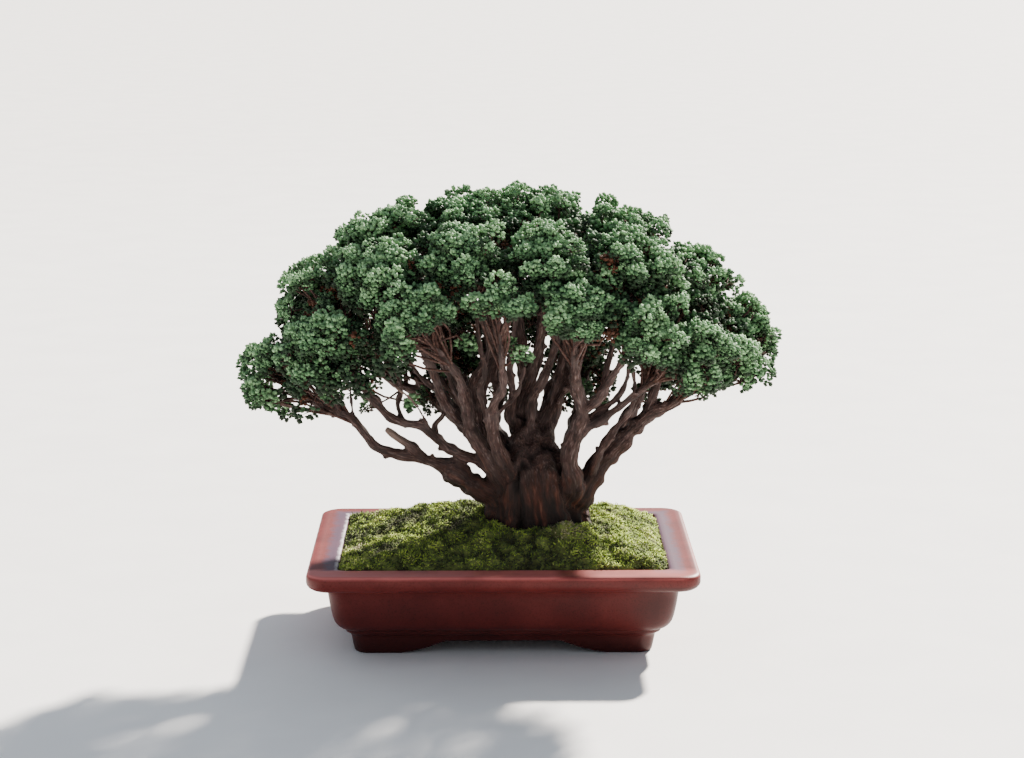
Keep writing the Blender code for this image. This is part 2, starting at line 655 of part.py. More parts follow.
def grow_sprays(space, limbs, chance):
    sprays = []
    outward = (space.middle - CROWN_MIDDLE) / CROWN_HALF ** 2
    for number, way in enumerate(spray_ways(SPRAYS, unit(outward))):
        jitter = np.array([chance.uniform(-SPRAY_JITTER, SPRAY_JITTER) for _ in range(3)])
        way = unit(way + jitter * (number > 0))
        turn = np.array([chance.uniform(-1, 1), chance.uniform(-1, 1), chance.uniform(-0.4, 0.4)])
        core = space.core_reach(way)
        reach = min(SPRAY_OVERREACH * space.pad_reach(way), space.crown_reach(way), space.wall_reach(way))
        while reach - core > LEAST_SPRAY:
            root, tip = space.middle + way * core * SPRAY_SINK, space.middle + way * reach
            outline, faces = make_spray(root, tip, turn)
            if all(space.holds(point) for point in outline[1:]) and is_clear(outline[1:], limbs):
                sprays.append(spray_solid(f"spray_{number}", outline, faces))
                break
            reach -= 0.002
    return sprays


def grow_stem(space, limb, limbs, chance):
    """The stem from the bough's tip into the core, and the twigs that part from it."""
    way = limb.way(limb.length)
    foot = limb.at(limb.length) + way * GAP
    run = space.middle - foot
    path = smooth_path((foot, foot + way * 0.003, space.middle), 0.012)
    radii = np.linspace(limb.bough.tip_radius, 0.4 * limb.bough.tip_radius, len(path))
    pieces = [tube("stem", path, radii, 5, start_way=way)]
    for number in range(TWIGS):
        bend = np.array([chance.uniform(-1, 1) for _ in range(3)])
        aside = unit(np.cross(run, bend)) * 0.45 * np.linalg.norm(run)
        start = foot + run * 0.12
        end = foot + run * 0.75 + aside
        if is_clear([end], [other for other in limbs if other is not limb]) and space.holds(end):
            radii = (TWIG_RADIUS, 0.6 * TWIG_RADIUS)
            pieces.append(tube(f"twig_{number}", np.array((start, end)), radii, 3))
    return pieces


def join_solids(body, pieces):
    """Fuse the pieces into the body."""
    group = bpy.data.collections.new("pieces")
    bpy.context.scene.collection.children.link(group)
    for piece in pieces:
        group.objects.link(piece)
    modifier = body.modifiers.new("join", "BOOLEAN")
    modifier.operation = "UNION"
    modifier.operand_type = "COLLECTION"
    modifier.collection = group
    settle(body, pieces)
    bpy.data.collections.remove(group)


def settle(body, helpers, wanted=lambda spot: True):
    """Apply the body's modifiers, drop its helpers and all but the largest wanted piece."""
    graph = bpy.context.evaluated_depsgraph_get()
    body.data = bpy.data.meshes.new_from_object(body.evaluated_get(graph))
    body.modifiers.clear()
    for helper in helpers:
        bpy.data.objects.remove(helper)
    keep_largest_piece(body.data, wanted)


def keep_largest_piece(mesh, wanted):
    shape = bmesh.new()
    shape.from_mesh(mesh)
    left = {vertex for vertex in shape.verts if wanted(vertex.co)}
    largest = set()
    while left:
        piece, edge_of_piece = set(), [next(iter(left))]
        while edge_of_piece:
            vertex = edge_of_piece.pop()
            if vertex not in piece:
                piece.add(vertex)
                edge_of_piece += [edge.other_vert(vertex) for edge in vertex.link_edges]
        left -= piece
        largest = max(largest, piece, key=len)
    scraps = [vertex for vertex in shape.verts if vertex not in largest]
    bmesh.ops.delete(shape, geom=scraps, context="VERTS")
    shape.to_mesh(mesh)
    shape.free()


def make_trunk(limbs):
    """The bole, with the foot of every bough that leaves it."""
    loops = [[bole_point(angle, level[0]) for angle in bole_angles()] for level in BOLE_LEVELS]
    trunk = loft("trunk", loops)
    feet = [limb.solid(f"foot_{name}", 0.0, limb.start - GAP / 2) for name, limb in limbs.items()]
    join_solids(trunk, feet)
    return trunk


def make_bough(limb, limbs):
    """One tapering limb with its dead stubs, cut clear of the limb that it springs from."""
    bough = limb.bough_solid(limb.bough.name)
    stubs = [other for other in limbs.values()
             if other.bough.parent == limb.bough.name and not other.bough.mass]
    if stubs:
        join_solids(bough, [stub.bough_solid(stub.bough.name) for stub in stubs])
    if limb.bough.parent != "trunk":
        cutter = limbs[limb.bough.parent].bough_solid("cutter", extra=GAP)
        subtract(bough, cutter)
        settle(bough, [cutter])
    return bough


def make_mass(space, limb, limbs, number):
    chance = random.Random(SEED * 100 + number)
    core = make_core(space, limbs, chance)
    pieces = grow_stem(space, limb, limbs, chance) + grow_sprays(space, limbs, chance)
    join_solids(core, pieces)
    core.name = "foliage_" + space.name
    return core


def main():
    clear_scene()
    materials = {name: make_material(name, finish) for name, finish in FINISHES.items()}
    frame = bpy.data.objects.new("plant_frame", None)
    bpy.context.scene.collection.objects.link(frame)
    frame.location = POT_PLACE

    spaces = {mass.name: Space(mass, [other for other in MASSES if other is not mass]) for mass in MASSES}
    limbs = {}
    for bough in BOUGHS:
        limbs[bough.name] = Limb(bough, spaces, limbs)
    from_trunk = {name: limb for name, limb in limbs.items() if limb.bough.parent == "trunk"}
    for name, limb in from_trunk.items():
        limb.start = leave_trunk(limb, [other for other in from_trunk.values() if other is not limb])

    finish_object(make_pot(), materials, "unglazed_clay", frame)
    for side in (-1, 1):
        for end in (-1, 1):
            finish_object(make_foot(side, end), materials, "unglazed_clay", frame)
    finish_object(make_soil(), materials, "soil", frame)
    finish_object(make_moss(), materials, "moss", frame)
    finish_object(make_trunk(from_trunk), materials, "bark", frame)
    bearers = {limb.bough.mass: limb for limb in limbs.values() if limb.bough.mass}
    for limb in bearers.values():
        finish_object(make_bough(limb, limbs), materials, "bark", frame)
    for number, (name, space) in enumerate(spaces.items()):
        thing = make_mass(space, bearers[name], limbs.values(), number)
        finish_object(thing, materials, "foliage", frame)
    for thing in bpy.data.objects:
        if thing.hide_render:
            thing.parent = frame


main()
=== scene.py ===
"""The looks of a hinoki cypress bonsai in its clay pot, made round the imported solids.

Metres, +Z up, the front towards -Y. The plant's own places are measured from the middle of
the pot's foot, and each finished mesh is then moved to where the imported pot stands.
"""

import json
import math
import random
from collections import namedtuple

import bpy
import numpy as np
from mathutils import Matrix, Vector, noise

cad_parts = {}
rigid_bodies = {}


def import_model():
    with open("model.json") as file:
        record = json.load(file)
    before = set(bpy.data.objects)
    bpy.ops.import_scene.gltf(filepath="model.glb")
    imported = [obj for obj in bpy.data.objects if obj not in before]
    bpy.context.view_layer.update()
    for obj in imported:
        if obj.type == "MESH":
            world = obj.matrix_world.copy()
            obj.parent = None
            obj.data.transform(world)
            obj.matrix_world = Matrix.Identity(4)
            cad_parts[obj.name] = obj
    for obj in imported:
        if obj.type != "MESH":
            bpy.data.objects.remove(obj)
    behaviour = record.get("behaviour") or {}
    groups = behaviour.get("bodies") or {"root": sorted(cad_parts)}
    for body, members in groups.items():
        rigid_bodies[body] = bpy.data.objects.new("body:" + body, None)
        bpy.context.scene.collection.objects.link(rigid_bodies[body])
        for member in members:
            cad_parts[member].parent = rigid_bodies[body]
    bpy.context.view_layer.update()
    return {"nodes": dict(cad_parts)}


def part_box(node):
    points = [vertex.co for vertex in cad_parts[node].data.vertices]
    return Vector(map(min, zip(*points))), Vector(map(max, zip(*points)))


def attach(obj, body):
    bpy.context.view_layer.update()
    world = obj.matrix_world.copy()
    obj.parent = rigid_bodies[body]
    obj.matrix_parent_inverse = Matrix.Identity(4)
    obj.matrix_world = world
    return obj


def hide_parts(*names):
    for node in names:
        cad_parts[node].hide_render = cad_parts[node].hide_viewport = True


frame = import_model()
POT_LOW, POT_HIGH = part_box("pot")

MM = 0.001
TINY = 1e-6
SEED = 7
SKEW = np.array((0.31, -0.22, 0.92))  # a direction that no limb or leaf runs along
PLANT_PLACE = ((POT_LOW[0] + POT_HIGH[0]) / 2, (POT_LOW[1] + POT_HIGH[1]) / 2, 0.0)

# Camera: a long lens a little over the table, fitted to the pot's rim and foot
LENS = 88.73
CAMERA_PLACE = (-0.0083, -1.431, 0.4193)
CAMERA_TURN = (79.23, 0.0, -0.55)

# Studio: a key light from behind on the right, a softbox above and a pale sky
TABLE_HALF = 30.0
KEY_POWER = 19.0
KEY_AZIMUTH = 60.0
KEY_HEIGHT = 34.0
KEY_SPREAD = 3.5
SOFTBOX_POWER = 14.0
SOFTBOX_PLACE = (-0.3, 0.9, 1.9)
SOFTBOX_SIZE = 2.2
SKY_STRENGTH = 0.58

# Pot: a wide flat rim over a tapering body, a rounded base moulding and four corner feet
POT_LENGTH = 0.220
POT_WIDTH = 0.165
CORNER_STEPS = 12
POT_SIDE_STEPS = 22
# How far in from the rim's edge, how high, and the corner's radius there
POT_PROFILE = (
    (0.0265, 0.0000, 0.008), (0.0260, 0.0004, 0.008), (0.0255, 0.0010, 0.008), (0.0248, 0.0040, 0.0085),
    (0.0240, 0.0085, 0.009), (0.0237, 0.0100, 0.009), (0.0232, 0.0109, 0.009), (0.0222, 0.0118, 0.0095),
    (0.0210, 0.0124, 0.010), (0.0206, 0.0131, 0.010), (0.0204, 0.0142, 0.010), (0.0194, 0.0149, 0.010),
    (0.0180, 0.0156, 0.010), (0.0166, 0.0168, 0.0105), (0.0155, 0.0182, 0.011), (0.0146, 0.0200, 0.011),
    (0.0137, 0.0230, 0.011), (0.0130, 0.0265, 0.011), (0.0123, 0.0305, 0.011), (0.0117, 0.0350, 0.011),
    (0.0112, 0.0388, 0.011), (0.0104, 0.0404, 0.011), (0.0090, 0.0411, 0.011), (0.0045, 0.0415, 0.011),
    (0.0026, 0.0419, 0.0115), (0.0013, 0.0429, 0.012), (0.0004, 0.0443, 0.012), (0.0000, 0.0458, 0.012),
    (0.0000, 0.0488, 0.012), (0.0002, 0.0497, 0.012), (0.0008, 0.0504, 0.012), (0.0016, 0.0508, 0.0115),
    (0.0026, 0.0510, 0.011), (0.0050, 0.0509, 0.010), (0.0070, 0.0508, 0.009), (0.0090, 0.0508, 0.008),
    (0.0110, 0.0508, 0.007), (0.0132, 0.0509, 0.006), (0.0154, 0.0510, 0.005), (0.0166, 0.0508, 0.0045),
    (0.0172, 0.0503, 0.004), (0.0175, 0.0490, 0.004), (0.0185, 0.0400, 0.004), (0.0250, 0.0165, 0.006),
    (0.0265, 0.0150, 0.006),
)
RECESS_INSET = 0.0400
RECESS_HEIGHT = 0.0086
RECESS_CORNER = 0.003
FEET_OPENING_HEIGHT = 0.008
FEET_OPENING_HALF_LONG = 0.0595
FEET_OPENING_HALF_SHORT = 0.038
FEET_OPENING_STEP = 0.002
FEET_OPENING_SIDE = ((0.0, 0.0), (0.007, 0.18), (0.015, 0.42), (0.021, 0.70), (0.0275, 1.0))
CUTTER_REACH = 0.004
DRAIN_RADIUS = 0.008
DRAIN_OFFSET = 0.045
DRAIN_SIDES = 40
CUT_EDGE = 0.0006
CUT_ANGLE = 50  # degrees
SHARP_ANGLE = 40
# Where the clay's finish changes: heights, insets from the rim's edge, and places along the pot
RIM_TOP = (0.0495, 0.0505)
RIM_INNER_EDGE = 0.0165
BLOOM_INSET = (0.0040, 0.0145)
BLOOM_ENDS = (0.078, 0.088)
LEAST_BLOOM = 0.1
CRUST_WIDTH = 0.0042
CRUSTED_END = -0.08
CRUST = (1.0, 0.6)  # how much lime there is at that end, and elsewhere
# Pale rubbed edges, with painted sunlight and reflection on the front of the rim: the edge's width and
# heights, the front strip, and where the sunlit right part starts
WORN_WIDTH = 0.0022
WORN_HEIGHT = (0.0488, 0.0500)
FRONT_STRIP = (0.064, 0.068)
SUNLIT_FROM = 0.030
EDGE_WEAR_AND_LIGHT = (1.3, 0.9)  # how pale the rim's edge is to the right of that and elsewhere: worn all round, with a painted highlight of sunlight on the right
FRONT_STRIP_LIGHT = (0.75, 2.2)  # and painted light on the top of the rim's front: painted reflection on its shaded left part, painted sunlight on its right
# Painted shade on the pot's right end below the rim: where along the length it sets in, how high it reaches,
# and how dark it is
PAINTED_SHADE_END = (0.045, 0.085)
PAINTED_SHADE_END_TOP = 0.0455
END_PAINTED_SHADE = 0.7
# How dark the clay is at each height: with damp towards the foot, and with painted shade on the body below
# the sunlit rim top
DAMP_AND_SHADE_HEIGHTS = ((0.0, 0.85), (0.012, 0.70), (0.020, 0.50), (0.042, 0.40), (0.047, 0.25), (0.0505, 0.0))

# Moss: a carpet over the soil, from just under the rim to the foot of the trunk
MOSS_INSET = 0.0179
MOSS_CORNER = 0.004
MOSS_EDGE_HEIGHT = 0.0507
MOSS_SEAT_HEIGHT = 0.0642
MOSS_UNDER_EDGE = 0.0480
MOSS_UNDER_MIDDLE = 0.0602
MOUND_CURVE = 0.75
SEAT_HALF_WIDTH = 0.0395
SEAT_HALF_DEPTH = 0.0345
SEAT_CENTRE_SHARE = 0.6
MOSS_RINGS = 50
MOSS_SEAT_RINGS = 8
MOSS_SIDE_STEPS = 72
MOSS_CORNER_STEPS = 4
CUSHIONS = ((0.0095, 0.0022), (0.0042, 0.0010))  # size and height
CUSHION_FALL = 2.2  # how steeply a cushion falls away from its middle
# Where the mound swells against the trunk: place, size and height
SWELLS = ((-0.020, 0.012, 0.026, 0.0066), (-0.052, 0.030, 0.022, 0.0034),
          (0.036, -0.032, 0.009, 0.0070), (0.062, 0.036, 0.020, 0.0032))
MOSS_COLOURS = ("#4c4e40", "#6c7b4e", "#9cb25a", "#cde26c", "#f0f79c", "#b3ab90")  # the last one is dry
MOSS_GREEN = 0.7  # the place in this list from which shoots go up or down
RIGHT_PAINTED_LIGHT = 1.1  # places up the list that the moss is painted lighter towards the right, as painted sunlight
RAISED_PAINTED_LIGHT = 1.7  # and on its cushions, as painted light on their tops
DRIFT_LIGHT = 1.9
SHOOT_VARIETY = 0.7
MOSS_DRIFTS = ((0.3, 0.022, 1.0), (0.7, 0.007, 0.6))  # shift, size and share
PILE_PATCH = 0.012
PAINTED_SUN_SPAN = (0.030, 0.070)  # across this stretch of the length the moss is painted brighter, as painted sunlight
DRY_SHARE = 0.60
DRY_EDGE = 0.3  # how ragged the edge of a dry tuft is, as a share of its radius
# Pale dry tufts among the moss: place and radius
DRY_MOSS = ((0.036, -0.032, 0.0095), (-0.086, -0.022, 0.0080), (-0.070, 0.052, 0.0110),
            (-0.045, 0.058, 0.0080))
MOSS_SHOOTS = 21000
SHOOT_LENGTH = (0.0012, 0.0030)
SHOOT_RADIUS = 0.00046
SHOOT_GIRTH = (0.8, 1.5)
SHOOT_ROOT = 0.0004
SHOOT_TILT = 0.85
SHOOT_SPREAD = (1, 1, 0.4)  # they tilt sideways more than up and down
SHOOT_GROWTH = (0.5, 1.0)  # shares of the full length around them

# Trunk: a fluted bole with surface roots, from its flat cut on the soil to where it divides
BOLE_PLACE = (0.021, 0.0)
BOLE_FOOT = 0.0600
# Height over the soil, half width and half depth
BOLE_LEVELS = (
    (0.000, 0.0310, 0.0260), (0.003, 0.0302, 0.0250), (0.008, 0.0293, 0.0240), (0.016, 0.0285, 0.0234),
    (0.028, 0.0275, 0.0222), (0.038, 0.0245, 0.0200), (0.045, 0.0185, 0.0150), (0.049, 0.0105, 0.0085),
)
BOLE_LEAN = -0.12  # sideways for each metre up
BOLE_SIDES = 110
BOLE_RINGS = 44
ROOT_ANGLES = (0.35, 1.35, 2.45, 3.35, 4.15, 5.05, 5.85)
ROOT_REACH = 0.0055
ROOT_WIDTH = 0.22
ROOT_FALL = 0.006
FLUTES = 7
FLUTE_DEPTH = 0.0018
FLUTE_TURN = 1.0

# Boughs: centre lines from the trunk, or from the bough they fork off, to the pad they carry
SAMPLE_SPACING = 0.0015
BOUGH_SIDES = 14
BARK_VOXEL = 0.00095
BARK_SMOOTHING = 4
HIGH_BARK = 0.150  # above this the boughs are a piece of their own, hidden among the leaves
AGED_BARK = (0.078, 0.118)  # the bark is old below these heights, and young above them
HIDDEN_RUN = 0.75  # how far a bough runs on, hidden, from a pad's edge to its middle
HIDDEN_THINNING = 0.5
STUBS_FROM = 0.02
STUB_SPACING = 0.010
STUB_LEAN = 0.5
STUB_LARGEST = 0.6  # as a share of its bough's radius
STUB_TAPER = (1.7, 1.0, 0.8)
STUB_SIDES = 8
STUB_LENGTH = (0.0004, 0.0030)
STUB_RADIUS = (0.0010, 0.0019)
KNOB_SIZE = 0.0065
KNOB_SWELL = 0.55
KNOB_RANGE = (-0.25, 0.6)
BARK_REACH = 0.004  # how far outside its limb bark may lie
FIBRE_STRETCH = 9.0  # how much longer than wide a bark fibre is
GRAIN_SHIFT = 0.37  # keeps the patterns of neighbouring limbs apart
BARE_FROM = 0.35  # share of a dead limb's length after which the wood is bare
BARE_LIGHT = 0.9
# The bark's forms: width, width as a share of length, height, and how much painted shade darkens their low
# parts
Relief = namedtuple("Relief", "size run height furrow")
KNOTS = Relief(0.0060, 1.0, 1.2 * MM, 0.0)
RIDGES = Relief(0.0042, 0.22, 1.4 * MM, 1.3)
FINE_STRIPS = Relief(0.0018, 1 / FIBRE_STRETCH, 0.45 * MM, 0.5)
RIBS = Relief(0.0075, 0.16, 3.2 * MM, 1.5)
HOLLOWS = Relief(0.0085, 0.4, 2.6 * MM, 1.0)
RIDGE_SINK = 0.15
HOLLOW_LEAST = 0.22  # only the deepest dips of the pattern become hollows
HOLLOW_BLEND = 0.3
# how much painted shade darkens the bark's furrows
FURROW_PAINTED_SHADE = 0.75
OLD_GIRTH = 0.012  # limbs stouter than this have ribs and hollows
STOUT_GIRTH = 0.010  # thinner limbs have less relief, down to this share
LEAST_RELIEF = 0.25
Bough = namedtuple("Bough", "name parent mass start_radius tip_radius points")
BOUGHS = (
    Bough("bough_low_left", "trunk", "far_left", 0.0080, 0.0018, (
        (0.012, -0.002, 0.070), (0.001, -0.003, 0.075), (-0.014, -0.008, 0.084), (-0.029, -0.012, 0.096),
        (-0.045, -0.014, 0.103), (-0.060, -0.015, 0.106), (-0.073, -0.016, 0.111), (-0.081, -0.017, 0.121),
        (-0.088, -0.018, 0.129), (-0.099, -0.018, 0.132))),
    Bough("bough_left", "trunk", "left_mid", 0.0042, 0.0019, (
        (0.006, -0.004, 0.082), (-0.007, -0.012, 0.099), (-0.020, -0.014, 0.104), (-0.031, -0.017, 0.110),
        (-0.039, -0.020, 0.118), (-0.047, -0.022, 0.124), (-0.056, -0.024, 0.126), (-0.064, -0.026, 0.130),
        (-0.072, -0.027, 0.139), (-0.086, -0.027, 0.156))),
    Bough("bough_rear_left", "trunk", "back_left", 0.0052, 0.0022, (
        (0.008, 0.006, 0.082), (-0.006, 0.008, 0.100), (-0.019, 0.018, 0.112), (-0.030, 0.026, 0.122),
        (-0.043, 0.032, 0.131), (-0.056, 0.036, 0.135), (-0.067, 0.040, 0.140))),
    Bough("bough_front_left", "trunk", "front_left", 0.0060, 0.0018, (
        (0.004, -0.008, 0.082), (-0.008, -0.016, 0.103), (-0.014, -0.021, 0.114), (-0.019, -0.025, 0.125),
        (-0.021, -0.029, 0.140), (-0.025, -0.040, 0.156))),
    Bough("bough_mid_left", "trunk", "mid_left", 0.0046, 0.0018, (
        (0.006, -0.004, 0.084), (-0.008, -0.009, 0.106), (-0.017, -0.012, 0.116), (-0.029, -0.016, 0.130),
        (-0.036, -0.022, 0.145), (-0.042, -0.030, 0.164))),
    Bough("bough_top_left", "trunk", "top_left", 0.0060, 0.0020, (
        (0.010, -0.001, 0.086), (-0.002, 0.001, 0.100), (-0.010, 0.003, 0.111), (-0.014, 0.006, 0.126),
        (-0.011, 0.008, 0.145), (-0.006, 0.008, 0.163), (-0.007, 0.005, 0.186))),
    Bough("bough_front", "trunk", "front_mid", 0.0052, 0.0018, (
        (0.008, -0.010, 0.088), (0.000, -0.021, 0.104), (-0.005, -0.028, 0.118), (-0.006, -0.034, 0.130),
        (-0.005, -0.041, 0.141), (0.000, -0.051, 0.152))),
    Bough("bough_top_mid", "trunk", "top_mid", 0.0062, 0.0020, (
        (0.016, 0.002, 0.088), (0.012, 0.004, 0.104), (0.009, 0.010, 0.121), (0.013, 0.014, 0.137),
        (0.019, 0.014, 0.152), (0.023, 0.008, 0.180))),
    Bough("bough_rear_right", "trunk", "back_right_high", 0.0066, 0.0020, (
        (0.024, 0.006, 0.086), (0.025, 0.008, 0.103), (0.025, 0.018, 0.119), (0.029, 0.028, 0.134),
        (0.038, 0.038, 0.148), (0.047, 0.045, 0.166))),
    Bough("bough_front_right", "trunk", "front_right", 0.0074, 0.0018, (
        (0.030, -0.004, 0.074), (0.038, -0.012, 0.082), (0.040, -0.020, 0.093), (0.038, -0.025, 0.107),
        (0.042, -0.028, 0.123), (0.045, -0.032, 0.136), (0.041, -0.038, 0.150))),
    Bough("bough_low_right", "trunk", "right_low", 0.0086, 0.0020, (
        (0.032, 0.002, 0.071), (0.042, -0.004, 0.077), (0.048, -0.008, 0.084), (0.056, -0.006, 0.097),
        (0.067, -0.005, 0.110), (0.077, -0.006, 0.121), (0.088, -0.008, 0.130), (0.098, -0.013, 0.135))),
    Bough("bough_back_left", "trunk", "back_mid_left", 0.0062, 0.0020, (
        (0.012, 0.008, 0.078), (0.006, 0.018, 0.092), (-0.002, 0.030, 0.106), (-0.014, 0.040, 0.122),
        (-0.026, 0.050, 0.142))),
    Bough("bough_back_right", "trunk", "back_mid_right", 0.0062, 0.0020, (
        (0.030, 0.008, 0.078), (0.036, 0.020, 0.092), (0.042, 0.032, 0.106), (0.046, 0.044, 0.124),
        (0.050, 0.056, 0.144))),
    Bough("bough_right_rear", "trunk", "back_right", 0.0060, 0.0020, (
        (0.038, 0.004, 0.076), (0.050, 0.012, 0.088), (0.062, 0.022, 0.102), (0.074, 0.030, 0.118),
        (0.085, 0.039, 0.136))),
    Bough("bough_left_fork", "bough_low_left", "left_low", 0.0024, 0.0016, (
        (-0.093, -0.018, 0.131), (-0.097, -0.021, 0.142), (-0.099, -0.026, 0.150))),
    Bough("dead_stub", "bough_low_left", None, 0.0036, 0.0022, (
        (-0.045, -0.014, 0.103), (-0.053, -0.016, 0.111), (-0.061, -0.018, 0.117), (-0.067, -0.019, 0.122))),
    Bough("bough_left_rear_high", "bough_rear_left", "left_back_high", 0.0028, 0.0018, (
        (-0.043, 0.032, 0.131), (-0.054, 0.036, 0.148), (-0.062, 0.038, 0.168))),
    Bough("bough_up_left", "bough_top_left", "up_left", 0.0030, 0.0018, (
        (-0.014, 0.006, 0.126), (-0.028, 0.002, 0.146), (-0.040, 0.000, 0.168), (-0.050, 0.000, 0.190))),
    Bough("bough_front_left_high", "bough_top_left", "front_left_high", 0.0026, 0.0016, (
        (-0.007, 0.008, 0.160), (-0.008, -0.008, 0.174), (-0.014, -0.024, 0.190))),
    Bough("bough_front_right_high", "bough_top_mid", "front_right_high", 0.0030, 0.0016, (
        (0.013, 0.014, 0.137), (0.017, 0.000, 0.152), (0.021, -0.014, 0.172), (0.023, -0.028, 0.190))),
    Bough("bough_front_far_right", "bough_front_right", "front_far_right", 0.0032, 0.0018, (
        (0.045, -0.032, 0.134), (0.054, -0.037, 0.143), (0.060, -0.044, 0.155))),
    Bough("bough_right_front", "bough_front_right", "right_front", 0.0030, 0.0018, (
        (0.041, -0.028, 0.119), (0.054, -0.030, 0.128), (0.066, -0.032, 0.137), (0.078, -0.038, 0.148))),
    Bough("bough_mid_right", "bough_front_far_right", "mid_right", 0.0024, 0.0016, (
        (0.055, -0.038, 0.145), (0.059, -0.036, 0.162), (0.064, -0.038, 0.182))),
    Bough("bough_right_mid", "bough_low_right", "right_mid", 0.0032, 0.0018, (
        (0.083, -0.007, 0.126), (0.088, -0.008, 0.144), (0.093, -0.006, 0.164))),
    Bough("bough_far_right", "bough_low_right", "far_right", 0.0028, 0.0018, (
        (0.094, -0.011, 0.133), (0.105, 0.002, 0.141))),
    Bough("bough_top_right", "bough_rear_right", "top_right", 0.0032, 0.0018, (
        (0.025, 0.018, 0.119), (0.034, 0.012, 0.138), (0.044, 0.008, 0.160), (0.054, 0.004, 0.184))),
    Bough("bough_back_high", "bough_back_left", "back_high", 0.0028, 0.0018, (
        (-0.014, 0.040, 0.122), (-0.011, 0.045, 0.142), (-0.008, 0.049, 0.170))),
)

# Where a bough thins unevenly: its radius at shares of its shown length
GIRTHS = {"bough_low_left": ((0.0, 0.0080), (0.38, 0.0062), (0.47, 0.0036), (1.0, 0.0021)),
          "bough_low_right": ((0.0, 0.0086), (0.45, 0.0058), (0.70, 0.0040), (1.0, 0.0020))}
